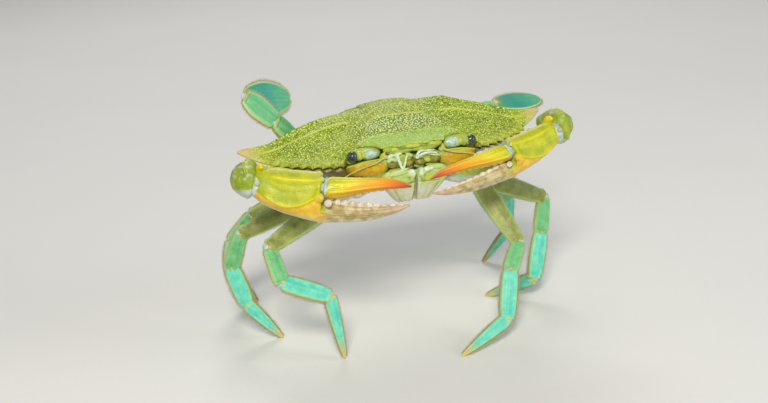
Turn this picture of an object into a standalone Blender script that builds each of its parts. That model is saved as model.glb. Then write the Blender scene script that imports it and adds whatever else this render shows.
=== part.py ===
"""A blue swimming crab (Callinectes kind), life size, standing on its six walking legs.

The claws are folded in front of the mouth with their fingers a little open, one swimming paddle is
held up behind the shell and the other is stretched out to the side.

Metres, +Z up. The crab faces -Y and its left side is +X. Landmarks are given in millimetres in the
body frame, whose origin is on the midline, half way along the shell, at the level of the eyes.
"""

import math

import bmesh
import bpy
from mathutils import Vector

# ---- driving sizes, in metres ----
EYE_HEIGHT = 0.068  # the eyes above the floor
JOINT_GAP = 0.0003  # between neighbouring pieces of shell
FLAT_FOOT = 0.0006  # how far a toe would reach under the floor before it is cut flat
UNDER_SHELL = -0.0050  # level of the flat seam between carapace and thorax
RIM = 0.0009  # thickness of the carapace at its edge
CREST = Vector((0.0, 0.005, 0.0104))  # highest point of the carapace


def mm(*values):
    """A length or a point given in millimetres, in metres."""
    if len(values) == 1:
        return values[0] * 0.001
    return Vector(values) * 0.001


# ---- colours ----
SHELL_GREEN = (0.30, 0.42, 0.10)
BELLY_WHITE = (0.72, 0.72, 0.62)
APRON_WHITE = (0.70, 0.69, 0.60)
FACE_OLIVE = (0.45, 0.40, 0.10)
MOUTH_LIME = (0.55, 0.60, 0.30)
STALK_BLUE = (0.42, 0.55, 0.45)
EYE_BLACK = (0.03, 0.04, 0.03)
FEELER_CREAM = (0.75, 0.72, 0.50)
ARM_GREEN = (0.35, 0.45, 0.15)
HAND_YELLOW = (0.55, 0.55, 0.08)
FINGER_ORANGE = (0.85, 0.40, 0.06)
LEG_OLIVE = (0.30, 0.36, 0.16)
LEG_TURQUOISE = (0.20, 0.68, 0.55)


# ---- mesh helpers ----
def finish(name, bm, colour, roughness=0.4, at=None):
    """Turns a bmesh in the body frame into a named object whose origin is the point `at`."""
    origin = at.copy() if at is not None else Vector((0.0, 0.0, 0.0))
    bmesh.ops.recalc_face_normals(bm, faces=bm.faces)
    bmesh.ops.translate(bm, verts=bm.verts, vec=-origin)
    mesh = bpy.data.meshes.new(name)
    bm.to_mesh(mesh)
    bm.free()
    mesh.shade_smooth()
    mesh.set_sharp_from_angle(angle=math.radians(40))
    obj = bpy.data.objects.new(name, mesh)
    bpy.context.scene.collection.objects.link(obj)
    obj.location = origin
    mat = bpy.data.materials.new(name)
    mat.use_nodes = True
    shader = mat.node_tree.nodes["Principled BSDF"]
    shader.inputs["Base Color"].default_value = (*colour, 1.0)
    shader.inputs["Roughness"].default_value = roughness
    shader.inputs["Metallic"].default_value = 0.0
    mesh.materials.append(mat)
    return obj


def skin_rings(rings):
    """A closed bmesh over equal rings of points. A ring of one point closes an end in a fan."""
    bm = bmesh.new()
    loops = [[bm.verts.new(p) for p in ring] for ring in rings]
    for low, high in zip(loops, loops[1:]):
        if len(low) == 1 or len(high) == 1:
            tip, ring = (low[0], high) if len(low) == 1 else (high[0], low)
            for k in range(len(ring)):
                bm.faces.new((tip, ring[k - 1], ring[k]))
        else:
            for k in range(len(low)):
                bm.faces.new((low[k - 1], low[k], high[k], high[k - 1]))
    for end in (loops[0], loops[-1]):
        if len(end) > 1:
            bm.faces.new(end)
    return bm


def cut_flat(bm, point, normal):
    """Removes what lies beyond the plane, on the side its normal points to, and closes the cut."""
    geometry = bm.verts[:] + bm.edges[:] + bm.faces[:]
    bmesh.ops.bisect_plane(
        bm, geom=geometry, plane_co=point, plane_no=normal, clear_outer=True, dist=1e-7
    )
    rim = [e for e in bm.edges if e.is_boundary]
    if rim:
        bmesh.ops.holes_fill(bm, edges=rim, sides=0)
    bmesh.ops.dissolve_degenerate(bm, dist=2e-6, edges=bm.edges)


def curve_through(points, steps):
    """Points on a Catmull-Rom curve through `points`, with `steps` stretches between neighbours."""
    ends = [2 * points[0] - points[1], *points, 2 * points[-1] - points[-2]]
    found = []
    for a, b, c, d in zip(ends, ends[1:], ends[2:], ends[3:]):
        for k in range(steps):
            t = k / steps
            found.append(
                0.5
                * (
                    2 * b
                    + (c - a) * t
                    + (2 * a - 5 * b + 4 * c - d) * t * t
                    + (3 * b - a - 3 * c + d) * t * t * t
                )
            )
    return [*found, points[-1].copy()]


def ring_at(centre, along, flat, section, half_width, half_depth):
    """One ring of a limb: the section's points, scaled, across the direction `along`.

    `flat` is roughly the normal of the limb's broad face.
    """
    across = flat.cross(along).normalized()
    face = along.cross(across).normalized()
    return [
        centre + across * (half_width * w) + face * (half_depth * d) for w, d in section
    ]


def limb(path, flat, section, profile):
    """A limb along a path. Its profile lists (share of the length, half width, half depth)."""
    lengths = [0.0]
    for a, b in zip(path, path[1:]):
        lengths.append(lengths[-1] + (b - a).length)
    rings = []
    for share, half_width, half_depth in profile:
        want = share * lengths[-1]
        k = max(i for i in range(len(path) - 1) if lengths[i] <= want + 1e-9)
        part = (want - lengths[k]) / (lengths[k + 1] - lengths[k])
        centre = path[k].lerp(path[k + 1], part)
        along = (path[k + 1] - path[k]).normalized()
        if half_width <= 0.0:
            rings.append([centre])
        else:
            rings.append(
                ring_at(centre, along, flat, section, mm(half_width), mm(half_depth))
            )
    return skin_rings(rings)


def oval(sides, squareness=1.0):
    """A round section of unit size; below 1 the squareness fills out its corners."""
    found = []
    for k in range(sides):
        a = 2 * math.pi * k / sides
        c, s = math.cos(a), math.sin(a)
        found.append(
            (
                math.copysign(abs(c) ** squareness, c),
                math.copysign(abs(s) ** squareness, s),
            )
        )
    return found


def mirrored(point):
    return Vector((-point.x, point.y, point.z))


# ---- the carapace ----
TEETH_PER_SIDE = 7  # between the tooth outside the eye and the long side spine
TOOTH_REACH = 1.5  # how far a side tooth stands out of the arc, mm
ARC_START = Vector((24.6, -21.6))
ARC_END = Vector((47.0, -6.0))
ARC_BULGE = 1.9  # how far the toothed edge bows out from a straight line, mm


def half_edge():
    """The left half of the carapace's edge, front to back: (edge point, base point, height), mm.

    The base points leave out teeth and spine; the inner rings of the shell follow them.
    """
    found = [
        ((0.0, -22.8), (0.0, -22.4), 2.3),
        ((4.9, -24.4), (4.9, -22.3), 2.3),
        ((7.8, -22.7), (7.8, -22.2), 2.3),
        ((10.8, -23.8), (10.8, -21.8), 2.3),
        ((12.6, -20.9), (12.6, -20.7), 2.6),
        ((15.6, -19.8), (15.6, -19.8), 2.7),
        ((18.8, -19.7), (18.8, -19.7), 2.2),
        ((21.8, -20.5), (21.6, -20.2), 0.2),
        ((24.2, -23.6), (23.6, -20.9), -2.0),
        ((24.9, -21.2), (24.6, -20.8), -2.2),
    ]
    across = Vector((ARC_END.y - ARC_START.y, ARC_START.x - ARC_END.x)).normalized()
    steps = 2 * TEETH_PER_SIDE
    for k in range(1, steps + 1):
        share = k / (steps + 1)
        bow = ARC_BULGE * 4 * share * (1 - share)
        base = ARC_START.lerp(ARC_END, share) + across * bow
        reach = TOOTH_REACH if k % 2 else 0.0
        tip = base + across * reach + Vector((0.0, -0.35 * reach))
        found.append((tuple(tip), tuple(base), -2.2))
    found += [
        ((47.6, -6.0), (46.2, -5.4), -1.8),
        ((51.3, -3.9), (46.8, -3.6), -0.3),
        ((55.0, -1.2), (47.0, -2.4), 1.6),
        ((50.6, -1.6), (46.6, -1.2), -0.2),
        ((46.2, 0.4), (45.6, 0.2), -1.8),
        ((41.0, 5.0), (41.0, 5.0), -2.6),
        ((35.8, 9.8), (35.8, 9.8), -2.9),
        ((30.2, 14.4), (30.2, 14.4), -3.1),
        ((24.6, 19.2), (24.6, 19.2), -3.3),
        ((20.2, 22.6), (20.2, 22.6), -3.5),
        ((17.0, 23.9), (17.0, 23.9), -3.6),
        ((8.5, 24.2), (8.5, 24.2), -3.8),
        ((0.0, 24.2), (0.0, 24.2), -3.8),
    ]
    return found


def whole_edge():
    """The whole edge as (edge point, base point) in metres, counter-clockwise seen from above."""
    half = half_edge()
    left = [
        (Vector((mm(x), mm(y), mm(z))), Vector((mm(u), mm(v), mm(z))))
        for (x, y), (u, v), z in half
    ]
    right = [(mirrored(a), mirrored(b)) for a, b in reversed(left[1:-1])]
    return left + right


CREST_ROUNDING = 0.2  # how softly the straight slope in front runs into the crest


def dome_fall(direction, share):
    """How far the shell has fallen, of its whole drop: straight in front, bulging elsewhere."""
    d = direction.normalized()
    power = 2.9 + 2.5 * min(0.0, d.y) - 0.5 * max(0.0, d.y)
    bulging = share ** max(1.6, power)
    r = CREST_ROUNDING
    straight = (math.hypot(r, share) - r) / (math.hypot(r, 1.0) - r)
    front = max(0.0, -d.y) ** 2
    return front * straight + (1.0 - front) * bulging


def dome_point(base, share):
    """A point of the upper surface, at this share of the way from the crest to the edge."""
    flat = Vector((base.x - CREST.x, base.y - CREST.y, 0.0))
    rise = (CREST.z - base.z) * (1.0 - dome_fall(flat, share))
    return Vector((CREST.x + flat.x * share, CREST.y + flat.y * share, base.z + rise))


def hidden_cutter(name, bm):
    """An object that only cuts others: it is drawn as wires and never rendered."""
    bmesh.ops.recalc_face_normals(bm, faces=bm.faces)
    mesh = bpy.data.meshes.new(name)
    bm.to_mesh(mesh)
    bm.free()
    obj = bpy.data.objects.new(name, mesh)
    bpy.context.scene.collection.objects.link(obj)
    obj.hide_render = True
    obj.display_type = "WIRE"
    return obj


def carve(obj, cutter):
    """Subtracts a cutter from an object."""
    cut = obj.modifiers.new("cut_" + cutter.name, "BOOLEAN")
    cut.operation = "DIFFERENCE"
    cut.solver = "EXACT"
    cut.object = cutter


FACE_BACK = -17.6  # the flat wall behind the face, mm
BROW_LEVEL = 1.5  # underside of the brow over the eyes, mm
BROW_POINTS = 10  # points of the half edge, from the middle, that overhang the face


def under_rings(edge):
    """The underside: the brow runs back to the wall behind the face, the rest slopes inward."""
    count = len(edge)
    slope, floor = [], []
    for k, (_, base) in enumerate(edge):
        if min(k, count - k) < BROW_POINTS:
            wall = (mm(FACE_BACK) - CREST.y) / (base.y - CREST.y)
            p = dome_point(base, wall)
            level = mm(BROW_LEVEL) if base.z > 0.0 else base.z - RIM - mm(0.1)
            slope.append(Vector((p.x, p.y, level)))
        else:
            p = dome_point(base, 0.88)
            slope.append(Vector((p.x, p.y, UNDER_SHELL + mm(0.4))))
        floor.append(Vector((p.x * 0.995, p.y + mm(0.1), UNDER_SHELL)))
    inner = [dome_point(base, 0.4) for _, base in edge]
    return [slope, floor, [Vector((p.x, p.y, UNDER_SHELL)) for p in inner]]


def make_carapace():
    edge = whole_edge()
    rings = [[CREST.copy()]]
    for share in (0.22, 0.45, 0.66, 0.84, 0.97):
        rings.append([dome_point(base, share) for _, base in edge])
    rings.append([tip for tip, _ in edge])
    rings.append([tip - Vector((0, 0, RIM)) for tip, _ in edge])
    rings += under_rings(edge)
    return finish("carapace", skin_rings(rings), SHELL_GREEN, 0.38)


# ---- the thorax and the apron ----
BELLY_DEPTH = 13.2  # from the seam down to the breastplate, mm
BREASTPLATE = -18.4  # level of the flat breastplate, mm


def belly_power(direction):
    """Nearly straight slopes to the sides, steep walls in front and behind."""
    d = direction.normalized()
    front, rear = max(0.0, -d.y) ** 3, max(0.0, d.y) ** 3
    return 1.3 + 4.5 * front + 1.5 * rear


def make_thorax():
    edge = whole_edge()[::2]
    top = UNDER_SHELL - JOINT_GAP
    rings = []
    for share in (0.35, 0.86):
        flat = [dome_point(base, share) for _, base in edge]
        rings.append([Vector((p.x, p.y, top)) for p in flat])
    for share in (0.86, 0.72, 0.54, 0.36, 0.18):
        ring = []
        for _, base in edge:
            p = dome_point(base, share)
            out = Vector((p.x, p.y, 0.0)) - Vector((0.0, CREST.y, 0.0))
            fall = 1.0 - (share / 0.86) ** belly_power(out)
            ring.append(Vector((p.x, p.y, top - mm(0.4) - mm(BELLY_DEPTH) * fall)))
        rings.append(ring)
    bm = skin_rings(rings)
    cut_flat(bm, mm(0, 0, BREASTPLATE), Vector((0, 0, -1)))
    cut_flat(bm, mm(0, FACE_BACK - 0.1, 0), Vector((0, -1, 0)))
    cut_flat(bm, mm(0, 21.6, 0), Vector((0, 1, 0.25)))
    return finish("thorax", bm, BELLY_WHITE, 0.5)


def make_apron():
    """The folded tail: it hangs from the back edge and lies along the breastplate."""
    stations = [
        (24.6, -5.6, 15.5),
        (24.6, -9.5, 14.2),
        (22.8, -14.6, 11.5),
        (18.4, -18.9, 9.4),
        (12.0, -19.7, 8.4),
        (4.0, -20.0, 5.6),
        (-3.0, -20.0, 2.9),
        (-8.6, -19.9, 1.3),
    ]
    thickness = 1.6
    path = [mm(0, y, z) for y, z, _ in stations]
    rings = []
    for k, (_, _, half) in enumerate(stations):
        before, after = path[max(0, k - 1)], path[min(len(path) - 1, k + 1)]
        along = (after - before).normalized()
        outward = Vector((1, 0, 0)).cross(along)
        inner = path[k] - outward * mm(thickness / 2)
        outer = path[k] + outward * mm(thickness / 2)
        side = Vector((mm(half), 0, 0))
        rings.append(
            [
                inner - side,
                inner + side,
                outer + side * 0.93,
                outer + outward * mm(0.5),
                outer - side * 0.93,
            ]
        )
    return finish("apron", skin_rings(rings), APRON_WHITE, 0.5)


# ---- the face ----
# Profiles of the face from its back wall forward and down, (y, z) in mm, at a distance from the
# midline. Between them the face changes evenly.
FACE_PROFILES = [
    (
        0.0,
        [
            (-17.9, 0.9),
            (-21.6, 0.9),
            (-20.4, -0.9),
            (-20.0, -2.6),
            (-22.4, -4.2),
            (-21.6, -5.9),
            (-20.6, -7.4),
            (-20.6, -15.8),
            (-17.9, -15.8),
        ],
    ),
    (
        7.0,
        [
            (-17.9, 0.9),
            (-21.2, 0.9),
            (-20.2, -0.8),
            (-20.0, -2.4),
            (-22.4, -4.0),
            (-22.2, -6.0),
            (-20.8, -7.6),
            (-20.6, -15.2),
            (-17.9, -15.2),
        ],
    ),
    (
        9.6,
        [
            (-17.9, 0.9),
            (-18.6, 0.9),
            (-18.5, -1.0),
            (-19.4, -2.5),
            (-22.8, -3.0),
            (-23.6, -5.6),
            (-22.4, -8.4),
            (-20.6, -13.4),
            (-17.9, -13.4),
        ],
    ),
    (
        13.0,
        [
            (-17.9, 0.9),
            (-18.3, 0.9),
            (-18.4, -1.2),
            (-19.6, -2.7),
            (-23.2, -2.5),
            (-24.6, -5.0),
            (-23.6, -8.4),
            (-20.4, -11.0),
            (-17.9, -11.0),
        ],
    ),
    (
        17.4,
        [
            (-17.9, 0.9),
            (-18.2, 0.9),
            (-18.5, -1.4),
            (-20.2, -2.9),
            (-23.6, -2.7),
            (-24.4, -4.6),
            (-22.8, -7.0),
            (-19.8, -8.0),
            (-17.9, -8.0),
        ],
    ),
    (
        19.6,
        [
            (-17.9, -3.3),
            (-18.6, -3.3),
            (-19.4, -3.3),
            (-20.6, -3.3),
            (-23.6, -3.0),
            (-24.2, -4.6),
            (-22.6, -6.8),
            (-19.8, -7.6),
            (-17.9, -7.6),
        ],
    ),
    (
        22.2,
        [
            (-17.9, -4.0),
            (-18.6, -4.0),
            (-19.4, -3.9),
            (-20.2, -3.8),
            (-22.0, -3.7),
            (-22.4, -4.5),
            (-21.2, -5.8),
            (-19.4, -6.4),
            (-17.9, -6.4),
        ],
    ),
]


def make_face():
    right = [[mm(-x, y, z) for y, z in points] for x, points in FACE_PROFILES[:0:-1]]
    left = [[mm(x, y, z) for y, z in points] for x, points in FACE_PROFILES]
    return finish("face", skin_rings(right + left), FACE_OLIVE, 0.4)


# The mouth plates by height: (height, inner edge, outer edge, front, back) in mm.
MOUTH_LEVELS = [
    (-6.9, 1.6, 9.8, -25.0, -22.8),
    (-8.6, 0.4, 11.2, -25.6, -22.4),
    (-11.6, 0.4, 10.8, -25.0, -21.8),
    (-15.0, 0.4, 8.6, -23.4, -21.1),
    (-18.2, 0.9, 6.2, -21.4, -18.6),
    (-19.0, 1.4, 5.0, -19.8, -17.4),
]


def mouth_plate(side, grow):
    """One of the two plates that close the mouth, grown all round by so many mm."""
    rings = []
    for z, inner, outer, front, back in MOUTH_LEVELS:
        inner, outer, front, back = (
            inner - grow,
            outer + grow,
            front - grow,
            back + grow,
        )
        middle = (inner + outer) / 2
        ring = [
            (inner, back),
            (inner, front + 0.6),
            (inner + 0.7, front),
            (middle, front - 0.3),
            (outer - 0.9, front + 0.3),
            (outer, front + 1.3),
            (outer - 0.4, back),
        ]
        rings.append([mm(side * x, y, z) for x, y in ring])
    rings[0] = [p + mm(0, 0, grow) for p in rings[0]]
    return skin_rings(rings)


def make_maxilliped(side, end, face):
    bm = mouth_plate(side, 0.0)
    cut_flat(bm, mm(0, FACE_BACK - 0.4, 0), Vector((0, 1, 0)))
    finish("maxilliped_" + end, bm, MOUTH_LIME, 0.4, mm(side * 5.0, -21.0, -17.0))
    carve(face, hidden_cutter("mouth_cutter_" + end, mouth_plate(side, 0.3)))


def make_eye(side, end):
    """The stalk, lying outward in its orbit, and the round cornea on its end."""
    root, tip = mm(side * 10.6, -20.6, -0.5), mm(side * 19.2, -22.4, -0.1)
    along = (tip - root).normalized()
    profile = [
        (0.0, 0.8, 0.8),
        (0.12, 1.15, 1.1),
        (0.4, 1.45, 1.35),
        (0.7, 1.35, 1.3),
        (0.9, 1.55, 1.5),
        (1.0, 1.45, 1.4),
    ]
    stalk = limb([root, tip], Vector((0, -1, 0)), oval(10), profile)
    finish("eyestalk_" + end, stalk, STALK_BLUE, 0.3, root)
    centre = tip + along * mm(1.55)
    bm = bmesh.new()
    bmesh.ops.create_uvsphere(bm, u_segments=12, v_segments=7, radius=mm(1.9))
    bmesh.ops.translate(bm, verts=bm.verts, vec=centre)
    cut_flat(bm, tip + along * mm(0.3), -along)
    finish("eye_" + end, bm, EYE_BLACK, 0.12, centre)


def make_feelers(side, end):
    """The long antenna beside the eye and the short forked antennule by the midline."""
    route = [
        mm(side * 9.6, -24.1, -0.6),
        mm(side * 14.0, -26.2, -1.3),
        mm(side * 19.5, -27.0, -3.6),
        mm(side * 23.5, -26.6, -4.2),
        mm(side * 27.0, -26.8, -6.4),
    ]
    profile = [
        (0.0, 0.75, 0.75),
        (0.12, 0.7, 0.7),
        (0.2, 0.42, 0.42),
        (0.4, 0.36, 0.36),
        (0.6, 0.32, 0.32),
        (0.8, 0.28, 0.28),
        (1.0, 0.26, 0.26),
    ]
    path = curve_through(route, 4)
    antenna = limb(path, Vector((0, 0.3, 1)), oval(6), profile)
    finish("antenna_" + end, antenna, FEELER_CREAM, 0.4, route[0])
    route = [
        mm(side * 6.2, -21.9, -1.6),
        mm(side * 4.2, -23.6, -1.7),
        mm(side * 3.2, -24.9, -3.2),
        mm(side * 2.6, -25.4, -5.6),
    ]
    profile = [
        (0.0, 0.9, 0.8),
        (0.3, 0.85, 0.75),
        (0.45, 0.5, 0.45),
        (0.75, 0.35, 0.3),
        (1.0, 0.26, 0.26),
    ]
    path = curve_through(route, 4)
    antennule = limb(path, Vector((0, -1, 0.3)), oval(6), profile)
    finish("antennule_" + end, antennule, FEELER_CREAM, 0.4, route[0])


# ---- the claws ----
HAND_LENGTH = 50.0  # from the wrist to the tip of the fixed finger in the plan below, mm
# (distance from the wrist, middle of the height, half height, half depth, level of the main
# ridge as a share of the half height); the last rows are the fixed finger, mm
HAND_PLAN = [
    (-1.6, 0.0, 2.8, 2.6, 0.0),
    (0.6, 0.0, 4.6, 3.8, -0.1),
    (4.5, -0.3, 6.2, 5.0, -0.3),
    (10.0, -0.9, 7.1, 5.9, -0.42),
    (16.0, -1.2, 7.8, 6.2, -0.25),
    (20.6, -1.3, 8.1, 5.8, 0.02),
    (21.4, -5.7, 3.9, 4.6, 0.4),
    (26.0, -5.7, 3.2, 3.7, 0.2),
    (33.0, -5.2, 2.7, 3.0, 0.2),
    (40.0, -3.8, 2.1, 2.3, 0.2),
    (46.0, -1.9, 1.3, 1.4, 0.2),
    (50.0, 0.0, 0.45, 0.5, 0.2),
]
PALM_ROWS = 6
PLAN_PALM = 21.0  # from the wrist to the finger joint in the plan, mm
FINGER_PLAN = [
    (22.2, 2.3, 2.9, 4.3, 0.1),
    (24.0, 2.6, 3.1, 4.5, 0.1),
    (29.0, 3.6, 2.6, 3.7, 0.1),
    (36.0, 5.0, 2.1, 2.9, 0.1),
    (42.0, 6.0, 1.7, 2.1, 0.1),
    (46.5, 6.4, 1.1, 1.3, 0.1),
    (49.4, 6.3, 0.45, 0.5, 0.1),
]
CLAW_TEETH = [(26.4, 1.5), (30.4, 1.4), (34.2, 1.2), (38.0, 0.9), (41.8, 0.6)]
TOOTH_HALF = 1.2  # half the length of a tooth at its root, mm
UPPER_TOOTH = 0.5  # height of the movable finger's teeth beside the fixed finger's


def claw_section(ridge, biting):
    """A hand's or finger's section as (height, outward), with its ridges; `biting` is the edge
    that carries teeth: 1 for the upper one, -1 for the lower, 0 for none."""
    upper, lower = (1.0, 0.0), (-1.0, -0.1)
    section = [
        upper,
        (0.93, 0.42),
        (0.5 * (0.93 + ridge), 0.80),
        (ridge, 1.0),
        (0.5 * (ridge - 0.8), 0.86),
        (-0.82, 0.45),
        lower,
        (-0.62, -0.78),
        (0.0, -1.0),
        (0.72, -0.78),
    ]
    edge = {1: upper, -1: lower}.get(biting)
    return section, section.index(edge) if edge else None


def fit_palm(distance, palm):
    """Stretches the plan's palm to the length `palm`; the fingers still end where they did."""
    if distance < PLAN_PALM:
        return distance * palm / PLAN_PALM
    return palm + (distance - PLAN_PALM) * (HAND_LENGTH - palm) / (HAND_LENGTH - PLAN_PALM)


def claw_rings(frame, rows, biting):
    """Rings for the plan's rows; on the biting edge, blunt teeth stand between bare stations."""
    wrist, along, up, out, palm, scale, girth = frame
    stations = [(*row, 0.0) for row in rows]
    for distance, height in CLAW_TEETH if biting else []:
        for shift, grow in ((-TOOTH_HALF, 0.0), (0.0, height), (TOOTH_HALF, 0.0)):
            at = distance + shift
            a, b = next((a, b) for a, b in zip(rows, rows[1:]) if a[0] <= at <= b[0])
            share = (at - a[0]) / (b[0] - a[0])
            grow *= 1.0 if biting > 0 else UPPER_TOOTH
            stations.append((*(p + (q - p) * share for p, q in zip(a, b)), grow))
    stations.sort()
    rings = []
    for distance, middle, half_height, half_depth, ridge, grow in stations:
        section, edge = claw_section(ridge, biting)
        way = fit_palm(distance, palm) * scale
        centre = wrist + along * mm(way) + up * mm(middle * girth)
        ring = []
        for k, (high, outward) in enumerate(section):
            level = half_height * high + (biting * grow if k == edge else 0.0)
            sideways = half_depth * outward
            ring.append(centre + up * mm(level * girth) + out * mm(sideways * girth))
        rings.append(ring)
    return rings


def make_claw(side, end, wrist, tip, palm, girth):
    """The hand with its fixed finger, and the movable finger above it."""
    along = (tip - wrist).normalized()
    up = (Vector((0, 0, 1)) - along * along.z).normalized()
    out = along.cross(up) if side < 0 else up.cross(along)
    scale = (tip - wrist).length / mm(HAND_LENGTH)
    frame = (wrist, along, up, out, palm, scale, girth)
    rings = claw_rings(frame, HAND_PLAN[:PALM_ROWS], 0)
    rings += claw_rings(frame, HAND_PLAN[PALM_ROWS:], 1)
    bm = skin_rings(rings)
    cut_flat(bm, wrist + along * JOINT_GAP / 2, -along)
    finish("hand_" + end, bm, HAND_YELLOW, 0.35, wrist)
    hinge = wrist + along * mm(palm * scale) + up * mm(2.9 * girth)
    rings = claw_rings(frame, FINGER_PLAN, -1)
    finish("finger_" + end, skin_rings(rings), FINGER_ORANGE, 0.3, hinge)
    return along


ARM_PROFILE = [
    (0.0, 2.6, 2.6),
    (0.12, 3.2, 2.8),
    (0.26, 2.9, 2.7),
    (0.40, 3.7, 3.1),
    (0.60, 4.3, 3.5),
    (0.80, 4.5, 3.5),
    (0.93, 4.0, 3.3),
    (1.04, 3.0, 2.6),
]


def make_arm(side, end, elbow):
    """The claw's arm, from its socket under the thorax out to the wrist piece.

    Returns the cutter of its socket and the arm's direction at the elbow.
    """
    route = [
        mm(side * 11.5, -12.2, -11.8),
        mm(side * 20.5, -16.6, -13.2),
        mm(side * 31.0, -18.8, -10.8),
        elbow,
    ]
    path = curve_through(route, 5)
    way = (path[-1] - path[-2]).normalized()
    path.append(path[-1] + way * mm(1.5))
    flat = Vector((0, -1, 0.2))
    section = oval(10, 0.8)
    bm = limb(path, flat, section, [(s / 1.04, w, d) for s, w, d in ARM_PROFILE])
    cut_flat(bm, elbow - way * JOINT_GAP / 2, way)
    finish("arm_" + end, bm, ARM_GREEN, 0.4, route[0])
    path[0] -= (path[1] - path[0]).normalized() * mm(0.4)
    grown = [(s / 1.04, w + 0.35, d + 0.35) for s, w, d in ARM_PROFILE]
    return hidden_cutter("socket_arm_" + end, limb(path, flat, section, grown)), way


# (share of the width from behind the arm to before the hand, half width, half thickness) in mm
WRIST_PROFILE = [
    (0.0, 2.6, 2.2),
    (0.1, 5.2, 3.9),
    (0.28, 7.8, 5.2),
    (0.5, 8.7, 5.8),
    (0.72, 8.1, 5.4),
    (0.9, 5.4, 4.1),
    (1.0, 2.6, 2.2),
]
WRIST_OVERHANG = 4.4  # how far the wrist reaches past the joints' centres at both ends, mm


def make_wrist(end, elbow, wrist, arm_way, hand_way, raised):
    """The short thick piece that turns the claw back in front of the mouth.

    It is a rounded cap over the ends of arm and hand, which lie side by side.
    """
    across = (wrist - elbow).normalized()
    start, stop = elbow - across * mm(WRIST_OVERHANG), wrist + across * mm(WRIST_OVERHANG)
    path = [start.lerp(stop, s) + raised for s in (0.0, 0.5, 1.0)]
    bm = limb(path, Vector((0, 0, 1)), oval(12, 0.85), WRIST_PROFILE)
    cut_flat(bm, elbow + arm_way * JOINT_GAP / 2, -arm_way)
    cut_flat(bm, wrist - hand_way * JOINT_GAP / 2, hand_way)
    finish("wrist_" + end, bm, ARM_GREEN, 0.35, elbow)


# ---- the legs ----
# (share of the length, half width, half thickness) in mm
HIP_PROFILE = [(0.0, 2.5, 2.2), (0.2, 3.1, 2.6), (0.7, 3.0, 2.4), (1.08, 2.5, 2.1)]
MERUS_PROFILE = [
    (-0.03, 2.2, 1.8),
    (0.08, 3.2, 2.1),
    (0.35, 3.8, 2.2),
    (0.7, 3.2, 2.0),
    (0.92, 2.7, 1.9),
    (1.04, 2.3, 1.7),
]
CARPUS_PROFILE = [
    (-0.06, 2.0, 1.6),
    (0.2, 2.5, 1.8),
    (0.75, 2.9, 1.8),
    (1.06, 2.5, 1.6),
]
PROPODUS_PROFILE = [
    (-0.04, 2.2, 1.4),
    (0.2, 2.9, 1.6),
    (0.6, 3.0, 1.6),
    (0.85, 2.7, 1.5),
    (1.04, 2.1, 1.3),
]
DACTYL_PROFILE = [
    (-0.03, 2.0, 1.2),
    (0.12, 2.3, 1.3),
    (0.4, 2.0, 1.15),
    (0.7, 1.4, 0.85),
    (0.9, 0.85, 0.6),
    (1.0, 0.5, 0.45),
]


def joint_cut(bm, joint, before, after, keep_before):
    """Cuts a piece at the plane half way round the bend of a joint, leaving half the gap."""
    normal = (before + after).normalized()
    if keep_before:
        cut_flat(bm, joint - normal * JOINT_GAP / 2, normal)
    else:
        cut_flat(bm, joint + normal * JOINT_GAP / 2, -normal)


def make_leg(name, hip, joints):
    """A walking leg through its joints: hip end, knee, ankle, toe root and toe tip.

    Returns the cutter that makes its socket in the thorax.
    """
    floor = Vector((0, 0, -EYE_HEIGHT))
    points = [hip, *joints]
    ways = [(b - a).normalized() for a, b in zip(points, points[1:])]
    flat = (joints[1] - joints[0]).cross(joints[3] - joints[2]).normalized()
    pieces = [
        ("hip", HIP_PROFILE, oval(10)),
        ("merus", MERUS_PROFILE, oval(10, 0.85)),
        ("carpus", CARPUS_PROFILE, oval(10, 0.85)),
        ("propodus", PROPODUS_PROFILE, oval(10, 0.85)),
        ("dactyl", DACTYL_PROFILE, oval(8)),
    ]
    for k, (part, profile, section) in enumerate(pieces):
        start, end = points[k], points[k + 1]
        if part == "dactyl":
            end = end + ways[k] * (FLAT_FOOT + mm(0.4))
        length = (end - start).length
        path = [start + ways[k] * length * s for s in (-0.1, 0.25, 0.5, 0.75, 1.1)]
        shifted = [((s + 0.1) / 1.2, w, d) for s, w, d in profile]
        bm = limb(path, flat, section, shifted)
        if k > 0:
            joint_cut(bm, start, ways[k - 1], ways[k], False)
        if k < len(pieces) - 1:
            joint_cut(bm, end, ways[k], ways[k + 1], True)
        if part == "dactyl":
            cut_flat(bm, floor, Vector((0, 0, -1)))
        colour = LEG_OLIVE if part in ("hip", "merus") else LEG_TURQUOISE
        finish(f"{name}_{part}", bm, colour, 0.35, start)
    start, end = points[0], points[1]
    path = [start - ways[0] * mm(0.5), start.lerp(end, 0.5), end]
    grown = [(max(0.0, min(1.0, s)), w + 0.35, d + 0.35) for s, w, d in HIP_PROFILE]
    return hidden_cutter("socket_" + name, limb(path, flat, oval(10), grown))


SWIMMER_PIECES = [
    (
        "merus",
        [
            (0.0, 2.6, 2.2),
            (0.35, 3.4, 2.8),
            (0.7, 4.6, 2.9),
            (0.92, 4.0, 2.6),
            (1.05, 3.0, 2.0),
        ],
    ),
    (
        "carpus",
        [(-0.06, 2.6, 1.9), (0.3, 3.7, 2.2), (0.75, 3.8, 2.0), (1.08, 3.0, 1.6)],
    ),
    (
        "propodus",
        [
            (-0.05, 2.6, 1.4),
            (0.2, 3.8, 1.4),
            (0.6, 4.4, 1.2),
            (0.88, 3.4, 1.0),
            (1.0, 2.2, 0.8),
        ],
    ),
]
PADDLE_PROFILE = [
    (0.0, 1.6, 0.6),
    (0.06, 3.2, 0.75),
    (0.2, 5.0, 0.8),
    (0.45, 6.2, 0.75),
    (0.7, 5.6, 0.65),
    (0.88, 3.9, 0.5),
    (0.97, 2.0, 0.4),
    (1.0, 0.9, 0.35),
]


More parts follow.
